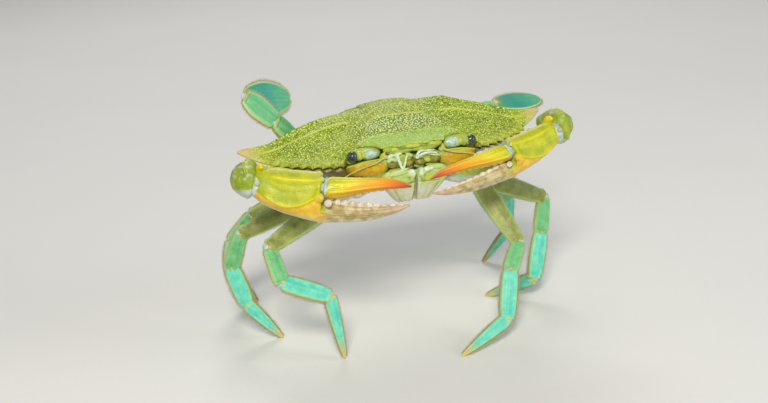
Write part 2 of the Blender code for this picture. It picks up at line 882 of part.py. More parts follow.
def make_swimmer(name, joints, flat, paddle_shift):
    """A swimming leg: three flattened pieces and an oval paddle, which may lie over the third."""
    ways = [(b - a).normalized() for a, b in zip(joints, joints[1:])]
    for k, (part, profile) in enumerate(SWIMMER_PIECES):
        start, end = joints[k], joints[k + 1]
        path = [start.lerp(end, s) for s in (-0.1, 0.5, 1.1)]
        shifted = [((s + 0.1) / 1.2, w, d) for s, w, d in profile]
        turn = flat if part == "propodus" else flat.lerp(Vector((0, -0.5, 1)), 0.5)
        bm = limb(path, turn, oval(12, 0.9), shifted)
        if k > 0:
            joint_cut(bm, start, ways[k - 1], ways[k], False)
        if k < len(SWIMMER_PIECES) - 1:
            joint_cut(bm, end, ways[k], ways[k + 1], True)
        finish(f"{name}_{part}", bm, LEG_TURQUOISE, 0.35, start)
    start, end = joints[3] + paddle_shift, joints[4] + paddle_shift
    paddle = limb([start, end], flat, oval(12), PADDLE_PROFILE)
    finish(f"{name}_paddle", paddle, LEG_TURQUOISE, 0.3, start)
    grown = [((s + 0.1) / 1.2, w + 0.35, d + 0.35) for s, w, d in SWIMMER_PIECES[0][1]]
    path = [joints[0].lerp(joints[1], s) for s in (-0.14, 0.5, 1.1)]
    turn = flat.lerp(Vector((0, -0.5, 1)), 0.5)
    return hidden_cutter("socket_" + name, limb(path, turn, oval(12, 0.9), grown))


# ---- the pose ----
# Joints of each limb: hip, hip end, knee, ankle, toe root, toe tip, in mm in the body frame.
WALKING_LEGS = {
    "leg_left_1": [
        (15.0, -6.2, -13.8),
        (26.4, -10.0, -17.4),
        (36.2, -24.0, -38.8),
        (30.3, -30.0, -46.2),
        (25.3, -38.0, -60.5),
        (5.8, -44.6, -68.0),
    ],
    "leg_left_2": [
        (15.8, 0.2, -13.8),
        (25.2, -0.6, -17.4),
        (55.6, -2.0, -31.6),
        (53.4, -3.4, -44.4),
        (48.2, -8.0, -60.0),
        (32.6, 2.4, -68.0),
    ],
    "leg_left_3": [
        (15.4, 6.6, -13.6),
        (23.8, 10.2, -17.2),
        (47.0, 22.6, -29.0),
        (53.4, 27.4, -39.6),
        (53.6, 31.0, -54.8),
        (45.0, 36.4, -68.0),
    ],
    "leg_right_1": [
        (-15.0, -6.2, -13.8),
        (-23.8, -9.2, -17.4),
        (-51.0, -20.0, -27.6),
        (-48.6, -24.6, -38.8),
        (-33.3, -26.4, -45.6),
        (-30.4, -29.0, -68.0),
    ],
    "leg_right_2": [
        (-15.8, 0.2, -13.8),
        (-25.2, -0.4, -17.0),
        (-56.0, 3.0, -29.0),
        (-60.4, 4.2, -41.0),
        (-56.6, 1.6, -54.6),
        (-45.6, -2.2, -68.0),
    ],
    "leg_right_3": [
        (-15.4, 6.6, -13.6),
        (-23.8, 10.2, -17.2),
        (-48.4, 21.0, -28.4),
        (-55.6, 25.4, -38.6),
        (-56.6, 30.4, -53.6),
        (-47.0, 35.4, -68.0),
    ],
}
# Joints: socket, knee, wrist, paddle root, paddle tip; the paddle's face; how it is set aside.
SWIMMING_LEGS = {
    "swimmer_right": (
        [
            (-13.2, 16.8, -11.4),
            (-28.2, 25.4, -6.2),
            (-36.2, 22.6, 4.2),
            (-46.0, 22.5, 14.4),
            (-27.6, 29.4, 10.6),
        ],
        (0.36, -0.87, 0.35),
        (-0.72, 1.74, -0.7),
    ),
    "swimmer_left": (
        [
            (13.2, 16.8, -11.4),
            (28.2, 25.4, -8.0),
            (37.6, 26.4, -5.4),
            (50.0, 29.4, -2.6),
            (70.4, 34.4, -3.6),
        ],
        (0.05, -0.3, 0.95),
        (0.6, 0.15, 0.0),
    ),
}
# Elbow, wrist and tip of the fixed finger; length of the palm in the plan; thickness beside the
# plan; how far the wrist piece sits above its two joints. Millimetres.
CLAWS = {
    "right": {
        "side": -1,
        "elbow": (-50.6, -17.4, -3.6),
        "wrist": (-54.6, -27.4, -3.4),
        "tip": (-8.0, -42.0, -13.2),
        "palm": 21.0,
        "girth": 1.0,
        "raised": 1.0,
    },
    "left": {
        "side": 1,
        "elbow": (48.0, -17.0, -4.0),
        "wrist": (50.8, -25.2, -1.2),
        "tip": (0.6, -40.0, -11.2),
        "palm": 19.4,
        "girth": 0.8,
        "raised": 2.0,
    },
}


def stand_on_floor():
    """Hangs every piece on one empty, which lifts the crab and centres it over the origin."""
    pieces = [o for o in bpy.data.objects if o.type == "MESH"]
    shown = [o for o in pieces if not o.hide_render]
    bpy.context.view_layer.update()
    corners = [o.matrix_world @ v.co for o in shown for v in o.data.vertices]
    low_x, high_x = min(c.x for c in corners), max(c.x for c in corners)
    low_y, high_y = min(c.y for c in corners), max(c.y for c in corners)
    crab = bpy.data.objects.new("crab", None)
    bpy.context.scene.collection.objects.link(crab)
    crab.location = (-(low_x + high_x) / 2, -(low_y + high_y) / 2, EYE_HEIGHT)
    for obj in pieces:
        obj.parent = crab


def main():
    for obj in list(bpy.data.objects):
        bpy.data.objects.remove(obj)
    make_carapace()
    thorax = make_thorax()
    make_apron()
    face = make_face()
    for end, claw in CLAWS.items():
        side = claw["side"]
        elbow, wrist, tip = (mm(*claw[k]) for k in ("elbow", "wrist", "tip"))
        make_maxilliped(side, end, face)
        make_eye(side, end)
        make_feelers(side, end)
        socket, arm_way = make_arm(side, end, elbow)
        carve(thorax, socket)
        hand_way = make_claw(side, end, wrist, tip, claw["palm"], claw["girth"])
        make_wrist(end, elbow, wrist, arm_way, hand_way, mm(0, 0, claw["raised"]))
    for name, joints in WALKING_LEGS.items():
        points = [mm(*p) for p in joints]
        carve(thorax, make_leg(name, points[0], points[1:]))
    for name, (joints, face, shift) in SWIMMING_LEGS.items():
        points = [mm(*p) for p in joints]
        carve(thorax, make_swimmer(name, points, Vector(face), mm(*shift)))
    stand_on_floor()


main()
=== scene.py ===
"""A life-size blue swimming crab for a museum shelf: its shell, limbs, granules and fringes.

Lengths are millimetres in the body frame unless a name says otherwise. The body frame has its origin
on the midline, half way along the shell, at the level of the eyes; +X is the crab's left side, -Y its
front and +Z up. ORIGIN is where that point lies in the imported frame, in metres.
"""

import math
from functools import partial

import bpy
import numpy as np
from bpy.props import FloatProperty, FloatVectorProperty, PointerProperty
from mathutils import Matrix, Vector


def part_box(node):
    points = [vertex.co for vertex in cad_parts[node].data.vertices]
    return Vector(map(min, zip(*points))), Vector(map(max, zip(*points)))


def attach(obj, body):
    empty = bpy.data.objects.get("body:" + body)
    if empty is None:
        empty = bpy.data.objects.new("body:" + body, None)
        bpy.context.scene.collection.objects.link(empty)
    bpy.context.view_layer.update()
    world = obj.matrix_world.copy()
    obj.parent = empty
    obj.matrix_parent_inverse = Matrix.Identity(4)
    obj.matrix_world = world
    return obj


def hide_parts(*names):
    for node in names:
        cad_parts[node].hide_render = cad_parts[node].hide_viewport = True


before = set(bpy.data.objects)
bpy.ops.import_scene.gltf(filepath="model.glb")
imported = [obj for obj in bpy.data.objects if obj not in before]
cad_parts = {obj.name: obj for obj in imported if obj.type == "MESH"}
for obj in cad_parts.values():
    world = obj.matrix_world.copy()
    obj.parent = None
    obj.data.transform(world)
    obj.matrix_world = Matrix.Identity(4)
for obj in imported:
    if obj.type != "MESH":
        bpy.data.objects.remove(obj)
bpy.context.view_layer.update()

bl_info = {
    "name": "Blue Swimming Crab",
    "version": (1, 0, 0),
    "blender": (4, 5, 0),
    "location": "3D View > Sidebar > Crab",
    "description": "Builds a life-size blue swimming crab, piece by piece, around its packed solids",
    "category": "Add Mesh",
}

SIDES = {"left": 1, "right": -1}
SHELL_FRONT = 24.4  # the foremost teeth of the shell, before the origin
CREST = np.array([0, 5, 10.4])  # highest point of the shell


def body_origin():
    """Where the body frame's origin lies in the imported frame, in metres."""
    low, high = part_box("carapace")
    return np.array([(low.x + high.x) / 2, low.y + SHELL_FRONT / 1000, high.z - CREST[2] / 1000])


ORIGIN = body_origin()


# ---- numbers and curves ----
def unit(v):
    v = np.asarray(v, float)
    return v / np.maximum(np.linalg.norm(v, axis=-1, keepdims=True), 1e-9)


def bell(x, centre, width):
    """1 at the centre, falling smoothly to both sides."""
    return np.exp(-(((x - centre) / width) ** 2))


def ease(x, low, high):
    """0 below `low`, 1 above `high` and smooth between; falling if low is above high."""
    t = np.clip((x - low) / (high - low), 0, 1)
    return t * t * (3 - 2 * t)


def within(x, low, start, stop, high):
    """0 below `low`, 1 from `start` to `stop`, 0 above `high` and smooth between."""
    return ease(x, low, start) * ease(x, high, stop)


def stacked(*columns):
    """Numbers and arrays side by side along a new last axis."""
    return np.stack(np.broadcast_arrays(*columns), axis=-1).astype(float)


def noise(points, size, seed=0):
    """Smooth noise from -1 to 1 with features about `size` across."""
    p = points.reshape(-1, 3) / size + 1000
    cell = np.floor(p).astype(np.int64)
    f = p - cell
    f = f * f * (3 - 2 * f)
    total = 0
    for corner in np.ndindex(2, 2, 2):
        x, y, z = (cell + corner).T
        mixed = (x * 73856093) ^ (y * 19349663) ^ (z * 83492791) ^ (seed * 2654435)
        mixed = (mixed ^ (mixed >> 13)) * 1274126177
        value = ((mixed ^ (mixed >> 16)) & 0xFFFF) / 32767.5 - 1
        total = total + value * np.prod(np.where(corner, f, 1 - f), axis=1)
    return total


def curve(points, steps, softness=1, closed=False):
    """Points on a smooth curve through `points`; where softness is 0 the curve turns a corner."""
    p = np.asarray(points, float)
    ends = p[[-1, 0]] if closed else 2 * p[[0, -1]] - p[[1, -2]]
    ring = np.vstack([ends[:1], p, ends[1:]])
    slope = (ring[2:] - ring[:-2]) / 2 * np.reshape(softness, (-1, 1))
    after, slope_after = np.roll(p, -1, axis=0)[:, None], np.roll(slope, -1, axis=0)[:, None]
    t = (np.arange(steps) / steps)[:, None]
    share = t * t * (3 - 2 * t)
    bend = t * (1 - t) ** 2 * slope[:, None] - t * t * (1 - t) * slope_after
    found = ((1 - share) * p[:, None] + share * after + bend).reshape(-1, p.shape[1])
    return found if closed else np.vstack([found[:-steps], p[-1:]])


def sided(places, side):
    """Places of the crab's left side, or their mirror image if `side` is -1."""
    return np.array(places, float) * (side, 1, 1)


def strides(path):
    """Lengths of a path's steps."""
    return np.linalg.norm(np.diff(path, axis=0), axis=1)


def resampled(path, shares):
    """Points at these shares of a path's length."""
    at = np.concatenate([[0], np.cumsum(strides(path))])
    return np.stack([np.interp(shares, at / at[-1], column) for column in np.transpose(path)], axis=1)


def profile_at(rows, shares):
    """The columns of a profile, after the first, smoothly between its rows."""
    dense = curve(rows, 12)
    dense = dense[np.argsort(dense[:, 0], kind="stable")]
    return [np.interp(shares, dense[:, 0], column) for column in dense.T[1:]]


def distance_to(points, line):
    """Distance of each point to a line of points, in the plane or in space."""
    found = []
    for a, b in zip(line, line[1:]):
        way = b - a
        t = np.clip((points - a) @ way / max(way @ way, 1e-12), 0, 1)
        found.append(np.linalg.norm(points - a - t[:, None] * way, axis=1))
    return np.min(found, axis=0)


# ---- forms: points with faces and masks ----
class Form:
    """Points, faces over them, and masks that hold one number per point."""

    def __init__(self, points, faces, **masks):
        self.points = np.asarray(points, float).reshape(-1, 3)
        self.faces = faces
        self.masks = {}
        self.mask(**masks)

    def mask(self, **masks):
        for name, value in masks.items():
            self.masks[name] = np.broadcast_to(value, len(self.points)).astype(float)
        return self

    def areas(self):
        """The faces of each kind with their area vectors, twice over."""
        for f in self.faces:
            p = self.points[f]
            yield f, np.cross(p[:, 2] - p[:, 0], p[:, -1] - p[:, 1])

    def normals(self):
        total = np.zeros_like(self.points)
        for f, area in self.areas():
            for corner in f.T:
                np.add.at(total, corner, area)
        return unit(total)

    def pushed(self, distance):
        """The same form with each point moved along its normal."""
        self.points = self.points + self.normals() * np.reshape(distance, (-1, 1))
        return self


def joined(forms):
    """Several forms as one."""
    starts = np.cumsum([0] + [len(form.points) for form in forms])
    faces = [f + start for form, start in zip(forms, starts) for f in form.faces]
    masks = {}
    for name in sorted({name for form in forms for name in form.masks}):
        masks[name] = np.concatenate([f.masks.get(name, np.zeros(len(f.points))) for f in forms])
    return Form(np.vstack([form.points for form in forms]), faces, **masks)


def skinned(rings, **masks):
    """A closed form, facing outwards, over an array of rings (rings, points, 3)."""
    rings = np.asarray(rings, float)
    n, m = rings.shape[:2]
    left = np.arange(n * m).reshape(n, m)
    right = np.roll(left, -1, axis=1)
    quads = np.stack([left[:-1], right[:-1], right[1:], left[1:]], axis=-1).reshape(-1, 4)
    first = np.stack([np.full(m, n * m), right[0], left[0]], axis=1)
    last = np.stack([np.full(m, n * m + 1), left[-1], right[-1]], axis=1)
    grown = {}
    for name, value in masks.items():
        value = np.broadcast_to(value, (n, m))
        grown[name] = np.concatenate([value.ravel(), value[[0, -1]].mean(1)])
    points = np.vstack([rings.reshape(-1, 3), rings[[0, -1]].mean(1)])
    form = Form(points, [quads, np.vstack([first, last])], **grown)
    middle = points.mean(0)
    if sum(((points[f].mean(1) - middle) * area).sum() for f, area in form.areas()) < 0:
        form.faces = [f[:, ::-1] for f in form.faces]
    return form


def round_section(sides, squareness):
    """Unit section of a limb: (across, out of its broad face)."""
    a = 2 * np.pi * np.arange(sides) / sides
    return [np.sign(v) * np.abs(v) ** squareness for v in (np.cos(a), np.sin(a))]


def limb(path, flat, rows, sides=40, rings=56, squareness=1, ends=(1, 1), relief=None):
    """A limb along a path, with rounded ends and masks that say where each point lies on it.

    rows: (share of the length, half width, half depth). `flat` is roughly the normal of the broad
    face. ends: how far from each end the limb rounds off. relief(share, across) is a height.
    The masks are `along` from 0 to 1, `side` and `face` from -1 to 1.
    """
    share = (1 - np.cos(np.linspace(0, np.pi, rings))) / 2 * 0.5 + np.linspace(0, 1, rings) * 0.5
    centre = resampled(path, share)
    length = strides(centre).sum()
    along = unit(np.gradient(centre, axis=0))
    across = unit(np.cross(flat, along))
    width, depth = profile_at(rows, share)
    rounding = 1
    for reach, way in zip(ends, (share, 1 - share)):
        t = np.clip(way * length / reach, 0.004, 1) if reach else 1
        rounding = rounding * np.sqrt(1 - (1 - t) ** 2)
    w, d = round_section(sides, squareness)
    wide = across * (width * rounding)[:, None]
    deep = np.cross(along, across) * (depth * rounding)[:, None]
    points = centre[:, None] + wide[:, None] * w[:, None] + deep[:, None] * d[:, None]
    form = skinned(points, along=share[:, None], side=w, face=d)
    if relief is not None:
        form.pushed(relief(form.masks["along"], form.masks["side"]))
    return form


def ball(centre, axes, sides=16, rings=9, **masks):
    """A ball stretched to three half axes, given as vectors, with its poles on the last."""
    lat = np.linspace(0.06, np.pi - 0.06, rings)[:, None]
    lon = np.arange(sides) * 2 * np.pi / sides
    unit_ball = stacked(np.sin(lat) * np.cos(lon), np.sin(lat) * np.sin(lon), np.cos(lat))
    return skinned(centre + unit_ball @ axes, **masks)


def knob(centre, radius, squash=(1, 1, 1), way=(0, 0, 1), **shape):
    """A rounded knob squashed along its own axes, the last of which is `way`."""
    axis = unit(way)
    first = unit(np.cross(axis, (0.3, 1, 0.2)))
    axes = np.stack([first, np.cross(axis, first), axis]) * radius
    return ball(centre, axes * np.array(squash)[:, None], **shape)


def ring_round(ways, lean, sides):
    """Directions all round each way, evenly spaced."""
    first = unit(np.cross(ways, lean))
    a = (np.arange(sides) * 2 * np.pi / sides)[:, None]
    return first[:, None] * np.cos(a) + np.cross(ways, first)[:, None] * np.sin(a)


def tube(path, radii, sides=10, steps=6, **masks):
    """A round tube along a smooth path; radii are read evenly along it."""
    line = curve(path, steps)
    share = np.linspace(0, 1, len(line))
    line = resampled(line, share)
    radius = np.interp(share, np.linspace(0, 1, len(radii)), radii)
    ring = ring_round(unit(np.gradient(line, axis=0)), (0.31, 0.17, 0.93), sides)
    return skinned(line[:, None] + ring * radius[:, None, None], along=share[:, None], **masks)


def strewn(layers, top, tips):
    """Many small closed forms, each of rings above each other and a point on top."""
    count, sides = layers[0].shape[:2]
    points = np.concatenate([*layers, top[:, None]], axis=1)
    each = points.shape[1]
    k = np.arange(sides)
    nxt = (k + 1) % sides
    last = each - 1 - sides
    walls = [np.stack([k, nxt, nxt + sides, k + sides], 1) + sides * j for j in range(len(layers) - 1)]
    roof = np.stack([k + last, nxt + last, np.full(sides, each - 1)], 1)
    floor = np.stack([np.zeros(sides - 2, int), k[2:], k[1:-1]], 1)
    shift = (np.arange(count) * each)[:, None, None]
    faces = [(np.vstack(part) + shift).reshape(-1, width) for part, width in ((walls, 4), ((roof, floor), 3))]
    pick = np.repeat(np.arange(count) * 0.618 % 1, each)
    tip = np.tile([*np.repeat(tips[:-1], sides), tips[-1]], count)
    return Form(points, faces, pick=pick, tip=tip)


def domes(centres, normals, radii, heights, sides=6):
    """Many low rounded grains on a surface, each closed underneath."""
    around = ring_round(normals, (0.3, 0.7, 0.2), sides)
    rise = (normals * heights[:, None])[:, None]
    layers = [
        centres[:, None] + around * (radii * wide)[:, None, None] + rise * high
        for wide, high in ((1, -0.35), (0.94, 0.25), (0.55, 0.82))
    ]
    return strewn(layers, centres + rise[:, 0], (0, 0.3, 0.8, 1))


def bristles(roots, ways, lengths, thickness, bend):
    """Many tapering three-sided bristles, each a closed form; they bend towards `bend`."""
    ways, lengths, bend = unit(ways), lengths[:, None], np.array(bend)
    around = ring_round(ways, (0.2, 0.5, 0.84), 3) * thickness
    layers = [
        (roots + ways * lengths * share + bend * lengths * share**2)[:, None] + around * wide
        for share, wide in ((-0.06, 1), (0.55, 0.62))
    ]
    return strewn(layers, roots + (ways + bend) * lengths, (0, 0.55, 1))


# ---- pieces: forms as objects on the frame ----
PATCH = 0.003  # how wide one grain or bristle is on its bake map


def new_object(name, points, faces, material):
    """A smooth mesh object of one material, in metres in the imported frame."""
    mesh = bpy.data.meshes.new(name)
    mesh.from_pydata(points, [], faces)
    mesh.shade_smooth()
    mesh.materials.append(material)
    obj = bpy.data.objects.new(name, mesh)
    bpy.context.scene.collection.objects.link(obj)
    return obj


def add_piece(name, form, material, nodes, uv=None):
    """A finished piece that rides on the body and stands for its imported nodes."""
    faces = [row for f in form.faces for row in f.tolist()]
    obj = new_object(name, (form.points * 0.001 + ORIGIN).tolist(), faces, material)
    mesh = obj.data
    for key, value in form.masks.items():
        mesh.attributes.new(key, "FLOAT", "POINT").data.foreach_set("value", value)
    if uv is not None:
        corners = uv[np.concatenate([f.ravel() for f in form.faces])]
        mesh.uv_layers.new(name="OFBake").data.foreach_set("uv", corners.ravel())
    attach(obj, "root")
    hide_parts(*nodes)


def add_pairs(*pairs):
    """Pieces on both sides, each given as its name, a form by end, its finish, node and slot, which is not
    used.
    """
    for end in SIDES:
        for name, form, finish, node, slot in pairs:
            add_piece(f"{name}_{end}", form(end), finish, [f"{node}_{end}"])


def patches(form, roots_uv):
    """Bake map of grains or bristles: each is a small patch round its root's place."""
    local = form.points.reshape(len(roots_uv), -1, 3)
    local = local - local.mean(axis=1, keepdims=True)
    reach = np.abs(local).max(axis=(1, 2), keepdims=True) + 1e-9
    spread = local[..., :2] / reach * PATCH / 2
    return np.clip(roots_uv[:, None] + spread, 0.001, 0.999).reshape(-1, 2)


# ---- shaders ----
class Wiring:
    """A shader node tree being wired. Each call adds a node and gives back its output."""

    def __init__(self, tree):
        self.tree = tree

    def node(self, kind, inputs=None, **settings):
        made = self.tree.nodes.new(kind)
        count = len(self.tree.nodes)
        made.location = (-220 * (1 + count // 5), 260 - 240 * (count % 5))
        for name, value in settings.items():
            setattr(made, name, value)
        for key, value in (inputs or {}).items():
            self.feed(made.inputs[key], value)
        return made

    def feed(self, socket, value):
        if isinstance(value, bpy.types.NodeSocket):
            self.tree.links.new(value, socket)
        elif socket.type == "RGBA":
            socket.default_value = (*value[:3], 1)
        else:
            socket.default_value = value

    def mask(self, name):
        return self.node("ShaderNodeAttribute", attribute_name=name).outputs["Fac"]

    def place(self):
        return self.node("ShaderNodeTexCoord").outputs["Object"]

    def maths(self, operation, a, b=0, clamp=False):
        return self.node("ShaderNodeMath", {0: a, 1: b}, operation=operation, use_clamp=clamp).outputs[0]

    def times(self, a, b):
        return self.maths("MULTIPLY", a, b)

    def plus(self, a, b):
        return self.maths("ADD", a, b)

    def less(self, a, b):
        return self.maths("SUBTRACT", a, b, clamp=True)

    def span(self, value, low, high, start=0, end=1):
        """The value spread from `low`..`high` to `start`..`end`, smooth and clamped."""
        inputs = {"Value": value, "From Min": low, "From Max": high, "To Min": start, "To Max": end}
        return self.node("ShaderNodeMapRange", inputs, interpolation_type="SMOOTHSTEP").outputs["Result"]

    def mix(self, share, a, b):
        return self.node("ShaderNodeMix", {0: share, 6: a, 7: b}, data_type="RGBA").outputs[2]

    def ramp(self, value, *stops):
        made = self.node("ShaderNodeValToRGB", {"Fac": value})
        elements = made.color_ramp.elements
        while len(elements) < len(stops):
            elements.new(0.5)
        for element, (at, colour) in zip(elements, stops):
            element.position = at
            element.color = (*colour[:3], 1)
        return made.outputs["Color"]

    def group(self, made, **inputs):
        return self.node("ShaderNodeGroup", inputs, node_tree=made).outputs[0]

    def bump(self, height, distance):
        inputs = {"Height": height, "Distance": distance, "Strength": 1}
        return self.node("ShaderNodeBump", inputs).outputs["Normal"]


def new_group(name, inputs, output, wire):
    """A shader node group of float inputs, given with their defaults, and one output."""
    group = bpy.data.node_groups.get(name)
    if group is None:
        group = bpy.data.node_groups.new(name, "ShaderNodeTree")
        new_socket = partial(group.interface.new_socket, socket_type="NodeSocketFloat")
        for label, default in inputs.items():
            new_socket(label, in_out="INPUT").default_value = default
        new_socket(output, in_out="OUTPUT")
        w = Wiring(group)
        found = wire(w, w.node("NodeGroupInput").outputs)
        w.feed(w.node("NodeGroupOutput").inputs[0], found)
    return group


def dot_group():
    """Small round dots scattered over a surface, some of them left out: 1 inside a dot."""

    def wire(w, given):
        scatter = {"Vector": w.place(), "Scale": given["Scale"], "Randomness": 0.9}
        cells = w.node("ShaderNodeTexVoronoi", scatter).outputs
        mask = w.span(cells["Distance"], given["Size"], w.less(given["Size"], given["Softness"]))
        chance = w.node("ShaderNodeSeparateColor", {"Color": cells["Color"]}).outputs["Red"]
        return w.times(mask, w.span(chance, given["Thinning"], w.plus(given["Thinning"], 0.05)))

    return new_group("Dots", {"Scale": 1500, "Size": 0.35, "Softness": 0.15, "Thinning": -0.1}, "Mask", wire)


def mottle_group():
    """Soft clouds, from 0 to 1."""

    def wire(w, given):
        clouds = {"Vector": w.place(), "Scale": given["Scale"], "Detail": 5, "Roughness": 0.62}
        wide = w.node("ShaderNodeTexNoise", clouds).outputs["Fac"]
        return w.span(wide, w.less(0.5, given["Spread"]), w.plus(given["Spread"], 0.5))

    return new_group("Mottling", {"Scale": 200, "Spread": 0.2}, "Mask", wire)


def grain_group():
    """The fine relief of horny shell: pits between low swellings."""

    def wire(w, given):
        place = w.place()
        fine = {"Vector": place, "Scale": given["Scale"], "Detail": 4}
        fine = w.node("ShaderNodeTexNoise", fine).outputs["Fac"]
        cells = {"Vector": place, "Scale": w.times(given["Scale"], 1.6)}
        cells = w.node("ShaderNodeTexVoronoi", cells, feature="SMOOTH_F1").outputs["Distance"]
        pits = w.times(w.span(cells, 0, 0.55), given["Pits"])
        return w.plus(w.times(fine, 0.6), w.times(pits, 0.4))

    return new_group("Shell grain", {"Scale": 900, "Pits": 1}, "Height", wire)


class Finish(Wiring):
    """A material of the crab, with the shared effects at hand."""

    def __init__(self, name, roughness=0.4, coat=0, coat_rough=0.2, specular=0.34):
        self.material = bpy.data.materials.new(name)
        self.material.use_nodes = True
        super().__init__(self.material.node_tree)
        self.inputs = self.tree.nodes["Principled BSDF"].inputs
        self.inputs["Roughness"].default_value = roughness
        self.inputs["Coat Weight"].default_value = coat
        self.inputs["Coat Roughness"].default_value = coat_rough
        self.inputs["Specular IOR Level"].default_value = specular

    def mottle(self, scale, spread=0.2):
        return self.group(mottle_group(), Scale=scale, Spread=spread)

    def dots(self, scale, size, softness=0.12, thinning=-0.1):
        return self.group(dot_group(), Scale=scale, Size=size, Softness=softness, Thinning=thinning)

    def grain(self, scale, pits=1):
        return self.group(grain_group(), Scale=scale, Pits=pits)

    def clouds(self, scale, colour, cloud, spread=0.2):
        return self.mix(self.mottle(scale, spread), colour, cloud)

    def layers(self, colour, *layers):
        """Paints (where, share, paint) over a colour in turn; `where` is a mask or its name."""
        for where, share, paint in layers:
            if isinstance(where, str):
                where = self.mask(where)
            colour = self.mix(where if share == 1 else self.times(where, share), colour, paint)
        return colour

    def done(self, colour, height, distance, roughness=None):
        """Feeds the shader; `distance` is the bump's depth in metres."""
        self.feed(self.inputs["Base Color"], colour)
        if roughness is not None:
            self.feed(self.inputs["Roughness"], roughness)
        self.feed(self.inputs["Normal"], self.bump(height, distance))
        return self.material


# ---- the carapace ----
TEETH_PER_SIDE = 7  # between the tooth outside the eye and the long side spine
TOOTH_REACH = 1.6  # how far a small tooth stands out
ARC_START, ARC_END = np.array([24.6, -21.6]), np.array([47, -6])  # ends of the toothed edge
ARC_BULGE = 1.9  # how far the toothed edge bows out from a straight line
EDGE_STEPS = 9  # points between two landmarks of the edge
BROW_MARKS = 9  # landmarks of the half edge, from the middle, that overhang the face
UNDER_SHELL = -5  # level of the seam between carapace and thorax
FACE_WALL = -17.6  # how far the brow runs back under the shell
RIM = 0.9  # height of the shell's rim
# Landmarks of the left half of the edge, front to back: edge x, y; base x, y; height; softness.
FRONT_MARKS = [
    (0, -22.8, 0, -22.4, 2.3, 1), (4.9, -24.4, 4.9, -22.3, 2.3, 0.5), (7.8, -22.7, 7.8, -22.2, 2.3, 0.7),
    (10.8, -23.8, 10.8, -21.8, 2.3, 0.3), (12.6, -20.9, 12.6, -20.7, 2.6, 0.8),
    (15.6, -19.8, 15.6, -19.8, 2.7, 1), (18.8, -19.7, 18.8, -19.7, 2.2, 1),
    (21.8, -20.5, 21.6, -20.2, 0.2, 1), (24.2, -23.6, 23.6, -20.9, -2, 0.1),
    (24.9, -21.2, 24.6, -20.8, -2.2, 0.6),
]
SPINE_MARKS = [
    (47.6, -6, 46.2, -5.4, -1.8, 0.8), (51.3, -3.9, 46.8, -3.6, -0.3, 1), (55, -1.2, 47, -2.4, 1.6, 0.05),
    (50.6, -1.6, 46.6, -1.2, -0.2, 1), (46.2, 0.4, 45.6, 0.2, -1.8, 1),
]
# Behind the spine the edge lies on its base: x, y and height.
BACK_MARKS = [
    (41, 5, -2.6), (35.8, 9.8, -2.9), (30.2, 14.4, -3.1), (24.6, 19.2, -3.3), (20.2, 22.6, -3.5),
    (17, 23.9, -3.6), (8.5, 24.2, -3.8), (0, 24.2, -3.8),
]


def toothed_edge():
    """Landmarks of the small teeth and the notches between them."""
    found = []
    way = ARC_END - ARC_START
    across = unit((way[1], -way[0]))
    shares = np.linspace(0, 1, 2 * TEETH_PER_SIDE + 2)[1:-1]
    for k, share in enumerate(shares):
        base = ARC_START + way * share + across * ARC_BULGE * 4 * share * (1 - share)
        tip = base + (across + (0, -0.4)) * TOOTH_REACH * (1 - k % 2)
        found.append((*tip, *base, -2.2, 0.8 if k % 2 else 0.15))
    return found


def whole_edge():
    """Edge, base and landmark numbers, from the front middle round the crab's left."""
    behind = [(x, y, x, y, z, 1) for x, y, z in BACK_MARKS]
    marks = np.array(FRONT_MARKS + toothed_edge() + SPINE_MARKS + behind)
    edge = curve(marks[:, [0, 1, 4]], EDGE_STEPS, marks[:, 5])
    base = curve(marks[:, 2:5], EDGE_STEPS)
    number = np.linspace(0, len(marks) - 1, len(edge))
    back, mirror = slice(-2, 0, -1), (-1, 1, 1)
    number = np.concatenate([number, number[back]])
    return np.vstack([edge, edge[back] * mirror]), np.vstack([base, base[back] * mirror]), number


EDGE, BASE, MARK = whole_edge()
ROUND = np.arctan2(BASE[:, 1] - CREST[1], BASE[:, 0])
ORDER = np.argsort(ROUND)
CREST_ROUNDING = 0.2  # share of the way over which the front's slope starts


def around(values, angle):
    """Values given along the base outline, read at these directions from the crest."""
    return np.interp(angle, ROUND[ORDER], values[ORDER], period=2 * np.pi)


def dome_fall(direction, share):
    """How far the shell has fallen, of its whole drop: straight in front, bulging elsewhere."""
    forward, back = np.maximum(0, -direction), np.maximum(0, direction)
    power = np.maximum(1.6, 2.9 - 2.5 * forward - 0.5 * back)
    r = CREST_ROUNDING
    straight = (np.hypot(r, share) - r) / (math.hypot(r, 1) - r)
    return forward**2 * straight + (1 - forward**2) * share**power


def smooth_dome(x, y):
    """Height of the plain dome, and the share of the way from its crest to its outline."""
    behind = y - CREST[1]
    angle, away = np.arctan2(behind, x), np.hypot(x, behind)
    share = away / around(np.hypot(BASE[:, 0], BASE[:, 1] - CREST[1]), angle)
    low = around(BASE[:, 2], angle)
    fall = dome_fall(behind / np.maximum(away, 1e-6), np.minimum(share, 1))
    return low + (CREST[2] - low) * (1 - fall), share


# Swellings of the shell's regions: (x, y, reach across, reach along, height), on both sides.
SWELLINGS = [
    (8, -12.6, 5.4, 4.2, 0.34), (0, -3, 7, 3, 0.22), (0, 9.4, 4.6, 4.2, 0.34), (0, 17.6, 6, 3.4, 0.22),
    (20, -1.6, 8.4, 4, 0.36), (22, 11, 9, 6, -0.7), (13, 14.4, 4.8, 5, 0.32), (25, -12.6, 6, 3.4, 0.2),
    (36, -5.8, 6, 3.6, 0.18),
]
